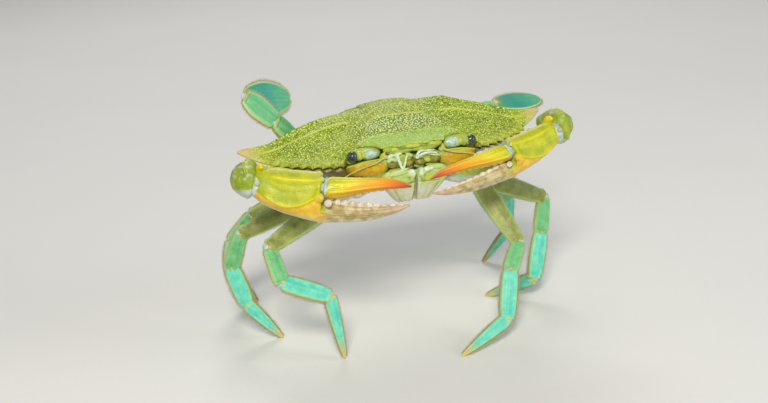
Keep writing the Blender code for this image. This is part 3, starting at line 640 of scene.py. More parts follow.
# Grooves between them: (depth, width, points), on both sides.
GROOVES = [
    (0.12, 1.6, [(14.8, -17), (15, -12.6), (13.8, -8.2), (10.8, -3), (8.4, 1.6), (4.2, 4.2), (0, 4.8)]),
    (0.46, 2.3, [(10.6, 0.4), (10.2, 4.6), (10.8, 8.6), (10.2, 13), (7.2, 17.2)]),
    (0.1, 1.8, [(15, -12.6), (20, -10), (28, -10), (34, -10)]),
    (0.11, 1.8, [(10.2, -0.6), (16, 3.2), (26, 2.6), (34, 1)]), (0.14, 1.4, [(0, -22.5), (0, -10)]),
]
# Raised lines of pale granules: (height, width, points), on both sides.
GRANULE_LINES = [
    (0.3, 0.36, [(0, -6), (4.6, -6.1), (8.8, -6.8), (13.2, -8.6)]),
    (0.24, 0.34, [(0, 1.5), (4.8, 0.8), (9.6, -2.6)]),
    (0.3, 0.36, [(47, -3.2), (41, -4), (32.3, -4.6), (27.1, -4.3), (22, -4), (16.4, -4.4)]),
    (0.14, 0.34, [(4.4, -16.9), (8.2, -17), (12.6, -17.2), (17.6, -18.2)]),
    (0.22, 0.32, [(11, -21.8), (14.1, -20.2), (17.6, -18.9), (21.6, -19.3), (23.4, -20.6)]),
    (0.2, 0.34, [(22.6, 18.8), (19.2, 21.6), (16.6, 22.7), (8.5, 23.1), (0, 23.1)]),
]


def relief(x, y, share):
    """Height above the plain dome, and how pale the granular lines are."""
    across = np.abs(x)
    flat = stacked(across, y)
    height = np.zeros(len(flat))
    for cx, cy, wide, deep, high in SWELLINGS:
        height += high * bell(across, cx, wide) * bell(y, cy, deep)
    # This shell stands a little higher on its left shoulder than on its right.
    height += 1.1 * bell(x, 19, 5.4) * bell(y, 2.4, 3.8) - 1.5 * bell(x, -17, 10) * bell(y, 8, 6)
    for deep, wide, points in GROOVES:
        height -= deep * bell(distance_to(flat, curve(points, 5)), 0, wide)
    pale = np.zeros(len(flat))
    beads = 0.8 + 0.35 * noise(stacked(x, y, 0), 0.55, 3)
    for high, wide, points in GRANULE_LINES:
        near = bell(distance_to(flat, curve(points, 6)), 0, wide)
        height += high * near * beads
        pale = np.maximum(pale, near * min(1, high / 0.3))
    height *= ease(share, 1, 0.93)
    return height, np.clip(pale, 0, 1) * ease(share, 1, 0.95)


def shell_surface(x, y):
    height, share = smooth_dome(x, y)
    rise, pale = relief(x, y, share)
    fine = noise(stacked(x, y, 0), 2.6, 5) * 0.07
    return height + rise + fine * ease(share, 1, 0.9), share, pale


def under_rings(count):
    """The underside: the brow runs back to the face's wall, the rest slopes in to the seam."""
    wall = (FACE_WALL - CREST[1]) / np.where(MARK < BROW_MARKS + 0.5, BASE[:, 1] - CREST[1], 1)
    brow = ease(MARK, BROW_MARKS + 0.6, BROW_MARKS - 0.4)
    inward = 0.88 + (wall - 0.88) * brow
    level = np.where(BASE[:, 2] > 0, 1.5, BASE[:, 2] - RIM - 0.1)
    level = (UNDER_SHELL + 0.4) * (1 - brow) + level * brow
    slope = stacked(BASE[:, 0] * inward, CREST[1] + (BASE[:, 1] - CREST[1]) * inward, level)
    start = EDGE - (0, 0, RIM)
    rings = []
    for t in np.linspace(0, 1, count)[1:]:
        swell = 0.5 * math.sin(math.pi * t) * (1 - brow)
        rings.append(start + (slope - start) * t + stacked(0, 0, swell))
    floor = slope * (0.995, 0.995, 0) + (0, 0, UNDER_SHELL)
    inner = (BASE - CREST) * (0.4, 0.4, 0) + (0, CREST[1], UNDER_SHELL)
    return rings + [floor, inner]


def carapace_form():
    shares = np.concatenate([np.linspace(0.004, 0.9, 88), np.linspace(0.9, 1, 16)[1:]])
    rings = []
    line = np.zeros((len(shares) + 16, len(BASE)))
    for s, pale in zip(shares, line):
        x, y = (BASE[:, :2] * s + (0, CREST[1] * (1 - s))).T
        z, _, pale[:] = shell_surface(x, y)
        bead = 0.22 * bell(s, 0.985, 0.012) * within(MARK, 8, 9, 26, 27.5)
        bead = bead + 0.30 * bell(s, 0.985, 0.02) * ease(MARK, 5, 4) * np.cos(BASE[:, 0] * 2.6)
        rings.append(stacked(x, y, z + bead) + (EDGE - BASE) * (1, 1, 0) * ease(s, 0.93, 1))
    outward = unit((BASE - CREST) * (1, 1, 0))
    for drop, swell in ((0.25, 0.10), (0.55, 0.14), (RIM, 0)):
        rings.append(EDGE + outward * swell - (0, 0, drop))
    top = len(rings)
    rings += under_rings(12)
    level = np.arange(len(rings))[:, None]
    form = skinned(rings, level=level, mark=MARK, line=line)
    return shell_masks(form, len(shares), top)


def shell_masks(form, margin, top):
    """Where the shell is pale, dark, mint, pink, grooved or underneath; the grooves and hollows carry painted
    shade.
    """
    level, mark, line = form.masks.values()
    form.masks = {}
    x, y, _ = form.points.T
    side = np.abs(x)
    beyond = ease(level, margin - 14, margin - 2)
    under = ease(level, top - 2.5, top + 1)
    upper = 1 - under
    teeth = beyond * within(mark, 8, 9.5, 25, 27) * (0.6 + 0.8 * noise(form.points, 0.8, 61))
    front = ease(y + 0.8 * noise(form.points, 0.9, 63), -14.4, -18.6)
    return form.mask(
        pale=np.maximum(line, 0.9 * teeth) * upper,
        dark=ease(side, 21, 9) * within(y, -18.4, -14.4, -7.8, -5.2) * upper,
        mint=ease(side, 20, 11) * front * upper,
        pink=ease(side, 46, 53),
        brow=beyond * ease(mark, 5, 3.6),
        under=under,
        # Painted shade: the grooves and hollows of the relief, the low right shoulder among them, are
        # darkened in colour, the deeper the darker.
        groove=np.clip(-relief(x, y, 0)[0] * 1.6, 0, 1) * upper,
    )


def shell_finish(c):
    """Olive and yellow-green horny shell, freckled, with pale lines and a yellow margin."""
    f = Finish("carapace_shell", roughness=0.46, coat=0.06, coat_rough=0.3)
    # The patch in front of the mid line is the shell's own grey-green; the grooves add painted shade to it.
    shade = f.maths("MAXIMUM", f.times(f.mask("dark"), 0.62), f.times(f.mask("groove"), 0.3))
    freckles = f.times(f.dots(800, 0.36, 0.22), f.less(0.85, f.times(f.mask("mint"), 0.35)))
    grains = f.times(f.dots(1250, 0.38, 0.12, 0.15), f.less(1, f.times(f.mask("mint"), 0.4)))
    brow = f.times(f.mask("brow"), f.times(f.mottle(500, 0.3), 0.5))
    colour = f.layers(
        f.clouds(120, c.shell_green, c.shell_yellow, 0.22),
        (f.mottle(600, 0.16), 0.45, c.shell_light),
        (shade, 1, c.shell_dark),
        ("mint", 0.8, c.shell_mint),
        (freckles, 1, c.shell_freckle),
        (grains, 1, c.granule_pale),
        ("pale", 0.85, c.line_yellow),
        (brow, 1, c.line_yellow),
        ("pink", 0.7, c.spine_pink),
        # Underneath, the brown is partly the skin's own colour and partly painted shade under the shell's
        # overhang.
        ("under", 1, f.clouds(260, c.under_brown, c.under_pale, 0.18)),
    )
    rough = f.span(f.mottle(900, 0.3), 0, 1, 0.42, 0.58)
    return f.done(colour, f.plus(f.grain(1400), f.times(grains, 0.8)), 0.00012, rough)


# ---- granules on the shell ----
SHELL_SPAN = 120  # width of the plan that the shell's bake map covers
BEAD_GAP = 0.52  # between the beads of a granular line


def shell_normals(x, y, step=0.15):
    run = shell_surface(x + step, y)[0] - shell_surface(x - step, y)[0]
    climb = shell_surface(x, y + step)[0] - shell_surface(x, y - step)[0]
    return unit(stacked(-run, -climb, 2 * step))


def scattered(gap, rng):
    """Points over the shell's plan, about `gap` apart, and their share of the way out."""
    along = np.arange(-23, 24, gap * 0.87)
    x, y = np.meshgrid(np.arange(-47, 47, gap), along)
    x = x + (np.arange(len(along)) % 2)[:, None] * gap / 2
    x, y = (v.ravel() + rng.uniform(-0.38, 0.38, v.size) * gap for v in (x, y))
    share = smooth_dome(x, y)[1]
    return stacked(x, y, share)[share < 0.972].T


def bead_rows(rng):
    """Beads along the granular lines: x, y, radius, height and how pale they are."""
    found = []
    for high, _, points in GRANULE_LINES:
        line = curve(points, 12)
        count = int(strides(line).sum() / BEAD_GAP)
        x, y = (resampled(line, np.linspace(0, 1, count)) + rng.normal(0, 0.05, (count, 2))).T
        radius = 0.17 + 0.2 * (high - 0.2)
        found += [stacked(side * x, y, radius, radius * 0.6, 0.8) for side in (1, -1)]
    return np.vstack(found)


def granule_field(gap, seed):
    """Every granule of the upper shell: x, y, radius, height and how pale it is."""
    rng = np.random.default_rng(seed)
    x, y, share = scattered(gap, rng)
    side = np.abs(x)
    patch = ease(side, 21, 9) * within(y, -18, -14.8, -7.6, -5.2)
    bare = ease(side, 19, 12) * ease(y, -14.8, -18.2)
    clumps = 0.5 + 0.5 * noise(stacked(x, y, 0), 4, 21)
    keep = rng.random(len(x)) < (0.9 - 0.6 * bare) * (0.6 + 0.45 * clumps + 0.4 * patch)
    radius = 0.19 + 0.08 * rng.random(len(x)) + 0.06 * patch - 0.03 * ease(share, 0.7, 0.95)
    return np.vstack([stacked(x, y, radius, radius * 0.55, 0.3 + 0.7 * patch)[keep], bead_rows(rng)])


def granule_form(x, y, radius, height, light):
    form = domes(stacked(x, y, shell_surface(x, y)[0]), shell_normals(x, y), radius, height)
    form.mask(light=np.repeat(light, len(form.points) // len(x)))
    return form, patches(form, stacked(x, y) / SHELL_SPAN + 0.5)


def granule_finish(c):
    """Pale enamel-like grains, each a little different."""
    f = Finish("shell_granules", roughness=0.36, coat=0.2)
    colour = f.layers(
        f.mix(f.mask("light"), c.granule_pale, c.granule_white),
        ("pick", 0.4, c.shell_light),
        (f.span(f.mask("tip"), 0.5, 0.1, 0, 0.5), 1, c.shell_yellow),
    )
    return f.done(colour, f.grain(3000), 0.00003)


# ---- the claws ----
CLAWS = {
    "right": {
        "elbow": (-50.6, -17.4, -3.6), "wrist": (-54.6, -27.4, -3.4), "tip": (-8, -42, -13.2),
        "palm": 21, "girth": 1, "raised": 1, "teeth": 1,
    },
    "left": {
        "elbow": (48, -17, -4), "wrist": (50.8, -25.2, -1.2), "tip": (0.6, -40, -11.2),
        "palm": 19.4, "girth": 0.8, "raised": 2, "teeth": 0.72,
    },
}
HAND_LENGTH = 50  # from the wrist to the tip of the fixed finger in the plan below
PLAN_PALM = 21  # from the wrist to the finger joint in the plan
# (distance from the wrist, middle of the height, half height, half depth, level of the main ridge
# as a share of the half height)
PALM_PLAN = [
    (-1.2, 0, 2.6, 2.4, 0), (0.6, 0, 4.5, 3.7, -0.1), (4.5, -0.3, 6.2, 5, -0.3),
    (10, -0.9, 7.1, 5.9, -0.42), (16, -1.2, 7.8, 6.2, -0.12), (20.6, -1.3, 8.1, 5.8, 0.34),
]
FIXED_FINGER_PLAN = [
    (21.4, -5.7, 3.9, 4.6, 0.4), (26, -5.7, 3.2, 3.7, 0.2), (33, -5.2, 2.7, 3, 0.2),
    (40, -3.8, 2.1, 2.3, 0.2), (46, -1.9, 1.3, 1.4, 0.2), (50, 0, 0.3, 0.35, 0.2),
]
FINGER_PLAN = [
    (21.6, 2.2, 2.5, 3.4, 0.1), (22.2, 2.1, 3.2, 4.3, 0.1), (24, 2.3, 3.5, 4.5, 0.1),
    (29, 3.2, 3.1, 3.9, 0.1), (36, 4.9, 2.25, 2.9, 0.1), (42, 6, 1.7, 2.1, 0.1),
    (46.5, 6.4, 1.1, 1.3, 0.1), (49.6, 6.3, 0.3, 0.35, 0.1),
]
FINGER_START, FINGER_LONG = 21.6, 28  # where the movable finger starts, and its length
# Where things lie round a section, counted in tenths from its upper edge by way of the outside.
UPPER, SECOND_RIDGE, MAIN_RIDGE = 0, 1.35, 3
CLAW_SIDES = 80  # points round a claw's section


class ClawFrame:
    """Directions of one claw: along the hand, up across it, out of its face."""

    def __init__(self, end):
        sizes = CLAWS[end]
        self.elbow, self.wrist = np.array(sizes["elbow"]), np.array(sizes["wrist"])
        self.palm, self.girth = sizes["palm"], sizes["girth"]
        self.teeth, self.raised = sizes["teeth"], sizes["raised"]
        reach = sizes["tip"] - self.wrist
        self.along = unit(reach)
        self.up = unit((0, 0, 1) - self.along * self.along[2])
        self.out = np.cross(self.up, self.along) * SIDES[end]
        self.scale = np.linalg.norm(reach) / HAND_LENGTH

    def at(self, distance, height, outward):
        """Places on the claw from the plan's: the palm has its own length, and the tips stay."""
        d = np.asarray(distance, float)
        beyond = self.palm + (d - PLAN_PALM) * (HAND_LENGTH - self.palm) / (HAND_LENGTH - PLAN_PALM)
        way = np.where(d < PLAN_PALM, d * self.palm / PLAN_PALM, beyond) * self.scale
        local = stacked(way, height * self.girth, outward * self.girth)
        return self.wrist + local @ [self.along, self.up, self.out]


def claw_section(ridge):
    """A hand's or finger's section as (height, outward) at ten places round it."""
    upper = [(1, 0), (0.93, 0.42), (0.5 * (0.93 + ridge), 0.80), (ridge, 1), (0.5 * (ridge - 0.8), 0.86)]
    return upper + [(-0.82, 0.45), (-1, -0.1), (-0.62, -0.78), (0, -1), (0.72, -0.78)]


def round_claw(distances, rows):
    """Rings of a claw piece as (distance, height, outward, place round it)."""
    softness = [0.7, 1, 1, 0.55, 1, 1, 0.8, 1, 1, 1]
    place = np.arange(CLAW_SIDES) * 10 / CLAW_SIDES
    rings = []
    for d, middle, high, deep, ridge in zip(distances, *profile_at(rows, distances)):
        up, out = curve(claw_section(ridge), CLAW_SIDES // 10, softness, closed=True).T
        rings.append(stacked(d, middle + high * up, deep * out, place))
    return np.array(rings)


def near_place(place, where, width):
    """1 on a line along the claw at `where` round its section, falling to both sides."""
    gap = np.abs((place - where + 5) % 10 - 5)
    return bell(gap, 0, width)


def claw_skin(claw, rings, **masks):
    distance, up, out, place = np.moveaxis(rings, -1, 0)
    return skinned(claw.at(distance, up, out), distance=distance, place=place, **masks)


def hand_form(claw):
    """Palm and fixed finger, with the step between them where the movable finger hinges."""
    palm = round_claw(np.linspace(-1.2, 20.6, 60), PALM_PLAN)
    finger = round_claw(21.4 + 28.6 * np.linspace(0, 1, 76) ** 0.9, FIXED_FINGER_PLAN)
    step = [palm[-1] + (finger[0] - palm[-1]) * t for t in (0.2, 0.4, 0.6, 0.8)]
    form = claw_skin(claw, np.concatenate([palm, step, finger]))
    d, place = form.masks["distance"], form.masks["place"]
    near = partial(near_place, place)
    on_palm = ease(d, 21.2, 20.2)
    swell = ease(d, 1, 5) * on_palm
    rim = near(UPPER, 0.30) * swell
    second = near(SECOND_RIDGE, 0.17) * swell * ease(d, 3, 7)
    third = near(1.85, 0.12) * on_palm * ease(d, 5, 9)
    main = near(MAIN_RIDGE, 0.20) * within(d, 2, 6, 36, 44)
    low = near(5, 0.22) * within(d, 6, 12, 38, 46)
    lip = bell(d, 20, 0.8) * ease(np.abs((place + 5) % 10 - 5), 4.2, 3.4)
    channel = (near(1.9, 0.4) + near(0.7, 0.3)) * swell
    grooves = (near(1.6, 0.25) + near(4.2, 0.25)) * within(d, 23, 27, 40, 47)
    rough = noise(form.points, 0.8, 11) * 0.04 * ease(d, 48, 30)
    raised = 0.46 * rim + 0.46 * second + 0.2 * third + 0.48 * main + 0.2 * low + 0.3 * lip
    form.pushed(raised - 0.30 * channel - 0.22 * grooves + rough)
    return form.mask(
        ridge=np.clip(rim + 0.8 * second + 0.4 * third + main * ease(d, 30, 20), 0, 1),
        facet=within(place, 3.1, 3.5, 5.4, 6.4) * ease(d, 33, 19),
        inner=1 - np.clip(np.cos((place - 2.6) / 10 * 2 * np.pi) * 1.6 + 0.45, 0, 1),
        reach=ease(d, 20, 26),
        tip=ease(d, 36, 50),
    )


def teeth_form(claw, rows, sign, sizes, start, stop):
    """Blunt white teeth along the biting edge, largest near the hinge."""
    found = []
    distances = np.linspace(start, stop, len(sizes))
    long = (stop - start) / (len(sizes) - 1) * 0.56 * claw.scale
    for d, m, h, w, _, size in zip(distances, *profile_at(rows, distances), sizes):
        centre = claw.at(d, m + (h - 0.15) * sign, -0.06 * w)
        wide, high = 0.34 * w * claw.girth, size * claw.girth * claw.teeth
        axes = np.array([sign * long * claw.along, wide * claw.out, sign * high * claw.up])
        found.append(ball(centre, axes, 14, 9, tooth=1, distance=d))
    return joined(found)


# Heights of the teeth in turn, from the hinge outwards.
HAND_TEETH = [1.5, 2, 1.7, 1.9, 1.5, 1.6, 1.2, 1, 0.7, 0.55]
FINGER_TEETH = [0.806, 0.93, 0.806, 0.868, 0.682, 0.744, 0.62, 0.558, 0.496, 0.434, 0.31]
# Tubercles of the movable finger: distance, height, outward, radius and length.
FINGER_SPIKES = [(23.2, 5.1, 1.2, 0.55, 1.1), (24.8, 5.3, 1.8, 0.5, 0.9), (26.4, 5.5, 1.2, 0.45, 0.8)]
# Knobs round the hinge: distance, height, outward, radius and masks.
HINGE_KNOBS = [
    (20.6, 0.2, 5.2, 1.75, {"facet": 0.9}),
    (21.2, 0.5, 5.9, 1.05, {"soft": 0.1, "facet": 0.2, "ridge": 0.7}),
    (23.8, -1.5, 4.3, 1.35, {"tooth": 1}),
    (20.9, 5.6, 2.6, 0.9, {"soft": 0.6, "facet": 0.2, "ridge": 0.7}),
    (20.9, -1.5, -4.6, 1.1, {"soft": 0.5, "facet": 0.5, "ridge": 0.4}),
]


def hinge_form(claw):
    """The soft band, the condyle and the white knob where the movable finger turns."""
    band = round_claw(np.linspace(20.2, 23.4, 22), FINGER_PLAN)
    t = np.linspace(0, 1, 22)[:, None, None]
    fold = 0.99 + 0.11 * np.abs(np.sin(t * np.pi * 2.5))
    fold = fold * np.sqrt(np.clip(1 - (2 * t - 1) ** 8, 0.02, 1))
    centre = band[..., 1:3].mean(axis=1, keepdims=True)
    band[..., 1:3] = centre + (band[..., 1:3] - centre) * fold
    parts = [claw_skin(claw, band, soft=1)]
    for distance, high, outward, radius, masks in HINGE_KNOBS:
        place = claw.at(distance, high, outward)
        parts.append(knob(place, radius * claw.girth, (1, 1, 0.8), claw.out, **masks))
    return joined(parts)


def spikes(claw):
    """Short blunt tubercles on the root of the movable finger."""
    way = unit(claw.up * 0.8 + claw.out * 0.3 + claw.along * 0.4)
    found = []
    for distance, high, outward, radius, length in FINGER_SPIKES:
        path = [claw.at(distance, high, outward) + way * step for step in (-0.5, length * 0.5, length)]
        found.append(tube(path, [radius, radius * 0.75, 0.12], 8, 3, ridge=1, distance=distance))
    return joined(found)


def hand_piece(end):
    claw = ClawFrame(end)
    row = teeth_form(claw, FIXED_FINGER_PLAN, 1, HAND_TEETH, 24, 47)
    return joined([hand_form(claw), row, hinge_form(claw)])


def finger_form(claw):
    """The movable finger: ribbed, yellow-green at its base and red at its tip."""
    rings = round_claw(FINGER_START + FINGER_LONG * np.linspace(0, 1, 96) ** 0.95, FINGER_PLAN)
    form = claw_skin(claw, rings)
    place = form.masks["place"]
    near = partial(near_place, place)
    reach = (form.masks["distance"] - FINGER_START) / FINGER_LONG
    body = within(reach, 0.02, 0.10, 0.7, 0.97)
    ribs = near(UPPER, 0.28) + near(1.7, 0.22) + near(3.4, 0.2) + near(8.4, 0.25)
    dips = near(0.85, 0.22) + near(2.55, 0.22) + near(4.3, 0.3)
    bumps = np.clip(noise(form.points, 0.9, 13), 0, 1) * ease(reach, 0.35, 0.05)
    form.pushed((0.28 * ribs - 0.20 * dips) * body + 0.16 * bumps + noise(form.points, 1.2, 5) * 0.03)
    seam = 3.5 - 4.5 * np.clip(reach, 0, 0.45)  # place where the orange flank starts
    under = within(place, seam - 0.4, seam + 0.6, 8.2, 9.2)
    return form.mask(ridge=np.clip(ribs * body, 0, 1), reach=reach, under=under)


def finger_piece(end):
    claw = ClawFrame(end)
    found = joined([teeth_form(claw, FINGER_PLAN, -1, FINGER_TEETH, 24.5, 46.5), spikes(claw)])
    found.mask(reach=(found.masks["distance"] - FINGER_START) / FINGER_LONG)
    return joined([finger_form(claw), found])


def hand_finish(c):
    """Yellow-green palm with pale ridges, an orange lower facet and a white inner side."""
    f = Finish("claw_hand", roughness=0.44, coat=0.08, coat_rough=0.25)
    flecks = f.dots(1500, 0.42, 0.2)
    colour = f.layers(
        f.clouds(300, c.palm_green, c.palm_yellow),
        (flecks, 0.4, c.palm_fleck),
        ("facet", 1, f.clouds(350, c.facet_orange, c.facet_yellow)),
        ("reach", 0.85, f.clouds(420, c.finger_white, c.finger_brown, 0.15)),
        ("inner", 0.85, f.clouds(200, c.inner_white, c.inner_blue)),
        ("tip", 0.6, c.tip_pale),
        ("ridge", 0.75, c.ridge_yellow),
        ("soft", 1, f.clouds(500, c.membrane_white, c.membrane_blue)),
        ("tooth", 1, f.clouds(700, c.tooth_white, c.tooth_cream)),
    )
    rough = f.span(f.mottle(800, 0.3), 0, 1, 0.38, 0.54)
    return f.done(colour, f.plus(f.grain(1300), f.times(flecks, 0.2)), 0.0001, rough)


def finger_finish(c):
    """Yellow-green, yellow, orange and red from the hinge to the tip, darker under the tip with painted
    shade.
    """
    f = Finish("claw_finger", roughness=0.36, coat=0.14, coat_rough=0.2)
    wander = f.plus(f.mask("reach"), f.times(f.less(f.mottle(250, 0.3), 0.5), 0.10))
    upper = [(0, c.palm_green), (0.14, c.palm_yellow), (0.34, c.ridge_yellow), (0.56, c.finger_yellow)]
    upper += [(0.76, c.finger_orange), (0.90, c.finger_red), (1, c.tip_red)]
    lower = [(0, c.facet_yellow), (0.3, c.finger_yellow), (0.62, c.finger_orange)]
    # The lower flank ends in a dark red: painted shade under the tip.
    lower += [(0.82, c.finger_red), (1, c.tip_dark)]
    ridges = f.times(f.mask("ridge"), f.span(f.mask("reach"), 0.75, 0.3, 0, 0.55))
    colour = f.layers(
        f.ramp(wander, *upper),
        ("under", 1, f.ramp(wander, *lower)),
        (ridges, 1, c.ridge_yellow),
        ("tooth", 1, f.clouds(700, c.tooth_white, c.tooth_cream)),
        (f.dots(1100, 0.22, 0.12, 0.4), 0.35, c.finger_red),
    )
    return f.done(colour, f.grain(1500, 0.5), 0.00008)


# ---- arms and wrists ----
# (share of the length, half width, half thickness) in mm
ARM_PROFILE = [
    (0, 2.6, 2.6), (0.12, 3.2, 2.8), (0.26, 2.9, 2.7), (0.4, 3.7, 3.1), (0.6, 4.3, 3.5), (0.8, 4.5, 3.5),
    (0.95, 4, 3.3), (1, 3.6, 3),
]
WRIST_PROFILE = [
    (0, 2.6, 2.2), (0.1, 5.2, 3.9), (0.28, 7.8, 5.2), (0.5, 8.7, 5.8), (0.72, 8.1, 5.4), (0.9, 5.4, 4.1),
    (1, 2.6, 2.2),
]
WRIST_SIDES, WRIST_RINGS = 96, 84
BEAD_COLUMNS = [17, 18, 30, 66, 78, 79]  # places round a wrist where rows of beads run
WRIST_OVERHANG = 4.4  # how far the wrist reaches past the joints' centres at both ends
ARM_SPINES = (0.56, 0.72, 0.88)  # shares of the arm's length


def flattened(form, place, way):
    """Presses whatever lies beyond a plane back onto it, which leaves a flat end."""
    way = unit(way)
    beyond = np.maximum((form.points - place) @ way, 0)
    form.points = form.points - beyond[:, None] * way
    return form


def drawn_in(form, place, way, reach, least):
    """Rounds a form off towards the flat end that faces `way` at `place`."""
    rel = form.points - place
    level = (rel @ way)[:, None]
    t = np.clip(-level / reach, 0, 1)
    size = least + (1 - least) * np.sqrt(1 - (1 - t) ** 2)
    form.points = place + level * way + (rel - level * way) * size


def arm_path(end):
    route = [(11.5, -12.2, -11.8), (20.5, -16.6, -13.2), (31, -18.8, -10.8)]
    return curve([*sided(route, SIDES[end]), CLAWS[end]["elbow"]], 5)


def arm_relief(share, across):
    """Folds and hollows at both ends of an arm."""
    folds = 0.35 * bell(share, 0.2, 0.03) + 0.3 * bell(share, 0.97, 0.02)
    return folds - 0.4 * bell(share, 0.25, 0.02) - 0.3 * bell(share, 0.92, 0.02)


def arm_piece(end):
    """The claw's arm, with three spines along its front edge."""
    side, path = SIDES[end], arm_path(end)
    form = limb(path, (0, -1, 0.2), ARM_PROFILE, 52, 84, 0.8, (1, 1.8), arm_relief)
    height = form.masks["side"]
    height = height * np.sign(np.corrcoef(height, form.points[:, 2])[0, 1])
    form.pushed(noise(form.points, 1.1, 21) * 0.06)
    parts = [form.mask(edge=bell(height, 1, 0.35), under=ease(height, 0.1, -0.7))]
    for share in ARM_SPINES:
        root = resampled(path, [share])[0] + (0, -3.2, 1.9)
        ways = [root, root + (side * 0.3, -0.8, 0.5), root + (side * 0.9, -1.5, 0.9)]
        parts.append(tube(ways, [1.1, 0.8, 0.15], 10, 5, edge=1, spot=0.35))
    parts.append(knob(path[-1], 3.1, (1, 1, 0.9), path[-1] - path[-2], soft=1))
    return joined(parts)


def wrist_relief(share, across):
    """Two ridges along a wrist with hollows beside them."""
    ridge = bell(across, 0.45, 0.12) + bell(across, -0.35, 0.1)
    hollow = bell(across, 0.05, 0.14) + bell(across, 0.75, 0.1)
    return (0.85 * ridge - 0.55 * hollow) * bell(share, 0.5, 0.35)


def wrist_body(claw, arm_way):
    """The lumpy body of a wrist, flat where it meets the arm and the hand."""
    over = unit(claw.wrist - claw.elbow) * WRIST_OVERHANG
    path = np.array([claw.elbow - over, claw.wrist + over]) + (0, 0, claw.raised)
    form = limb(path, (0, 0, 1), WRIST_PROFILE, WRIST_SIDES, WRIST_RINGS, 0.85, relief=wrist_relief)
    along, side, face = form.masks.values()
    lumps = noise(form.points, 2.6, 23) * 0.36 + noise(form.points, 1.2, 27) * 0.12
    lumps = lumps + 0.2 * np.clip(noise(form.points, 1, 29), 0, 1)
    form.pushed(lumps * within(along, 0.02, 0.14, 0.86, 0.98))
    height = form.points[:, 2] - claw.elbow[2]
    low = ease(face, -0.2, -0.8) * (height < 0)
    patch = noise(form.points, 1.3, 71) * ease(height, 1, 4)
    ridge = bell(side, 0.45, 0.1) + bell(side, -0.35, 0.1)
    form.mask(edge=ridge * bell(along, 0.5, 0.3), under=np.maximum(low, 0.7 * ease(patch, 0.25, 0.5)))
    for place, way in ((claw.elbow + arm_way * 0.2, -arm_way), (claw.wrist - claw.along * 0.2, claw.along)):
        drawn_in(flattened(form, place, way), place, way, 3.4, 0.55)
    return form


def wrist_beads(form, level):
    """Rows of fine beads along a wrist's ridges and edges, above this level."""
    grid = np.arange(WRIST_SIDES * WRIST_RINGS).reshape(WRIST_RINGS, WRIST_SIDES)
    rows = grid[12:-12:2, BEAD_COLUMNS].ravel()
    rows = rows[form.points[rows, 2] > level]
    size = np.full(len(rows), 0.2)
    return domes(form.points[rows], form.normals()[rows], size, size, 8).mask(edge=0.8)


def wrist_piece(end):
    """The rounded wrist that turns the claw back in front of the mouth."""
    claw, outward, route = ClawFrame(end), np.array([SIDES[end], 0, 0]), arm_path(end)
    form = wrist_body(claw, unit(route[-1] - route[-2]))
    top = (claw.elbow + claw.wrist) / 2 + (0, 0, claw.raised + 4.6)
    spine = top - outward * 0.5 + (0, -3.2, -0.6)
    spine = [spine + (0, 1.2, -1.6), spine, spine + outward * 0.2 + (0, -2.2, 0.9)]
    back = top + outward * 2.4 + (0, 3.4, -1.2)
    hook = [back - (0, 0, 1.4), back, back + outward * 1.2 + (0, 0, 1)]
    front = claw.wrist + claw.along * 0.6 + claw.out * 3.4 + claw.up * 2
    return joined(
        [
            form,
            wrist_beads(form, claw.elbow[2] - 1),
            tube(spine, [1.9, 1.5, 0.35], 16, 6, edge=1, knob=1),
            tube(hook, [1.5, 1.1, 0.2], 14, 5, knob=0.7),
            knob(claw.wrist + claw.along * 0.4, 3.9, (1, 1, 0.55), claw.along, soft=1),
            knob(front, 1.1 * claw.girth, soft=0.6, spot=0.4),
        ]
    )


def limb_finish(name, c, ground, cloud, edge, *more):
    """Skin of a limb: clouds and flecks over the ground, pale edges, joints soft and pale."""
    f = Finish(name, roughness=0.44, coat=0.08, coat_rough=0.25)
    flecks = f.dots(1200, 0.3, 0.15)
    colour = f.layers(f.clouds(330, ground, cloud), (flecks, 0.4, edge), ("edge", 1, edge), *more)
    colour = f.layers(
        colour,
        ("under", 0.75, f.clouds(260, c.inner_white, c.inner_blue)),
        ("spot", 1, f.clouds(700, c.spot_orange, c.ridge_yellow)),
        ("knob", 1, c.ridge_yellow),
        ("soft", 1, f.clouds(600, c.membrane_white, c.membrane_blue)),
    )
    return f.done(colour, f.plus(f.grain(1300, 0.8), f.times(flecks, 0.5)), 0.0001)


# ---- the walking and swimming legs ----
FLOOR_LEVEL = -68  # the floor, from the middle between the eyes
# Joints of each leg: socket, hip end, knee, ankle, toe root, toe tip.
WALKING_LEGS = {
    "leg_left_1": [
        (15, -6.2, -13.8), (26.4, -10, -17.4), (36.2, -24, -38.8), (30.3, -30, -46.2), (25.3, -38, -60.5),
        (5.8, -44.6, -68),
    ],
    "leg_left_2": [
        (15.8, 0.2, -13.8), (25.2, -0.6, -17.4), (55.6, -2, -31.6), (53.4, -3.4, -44.4), (48.2, -8, -60),
        (32.6, 2.4, -68),
    ],
    "leg_left_3": [
        (15.4, 6.6, -13.6), (23.8, 10.2, -17.2), (47, 22.6, -29), (53.4, 27.4, -39.6), (53.6, 31, -54.8),
        (45, 36.4, -68),
    ],
    "leg_right_1": [
        (-15, -6.2, -13.8), (-23.8, -9.2, -17.4), (-51, -20, -27.6), (-48.6, -24.6, -38.8),
        (-33.3, -26.4, -45.6), (-30.4, -29, -68),
    ],
    "leg_right_2": [
        (-15.8, 0.2, -13.8), (-25.2, -0.4, -17), (-56, 3, -29), (-60.4, 4.2, -41), (-56.6, 1.6, -54.6),
        (-45.6, -2.2, -68),
    ],
    "leg_right_3": [
        (-15.4, 6.6, -13.6), (-23.8, 10.2, -17.2), (-48.4, 21, -28.4), (-55.6, 25.4, -38.6),
        (-56.6, 30.4, -53.6), (-47, 35.4, -68),
    ],
}
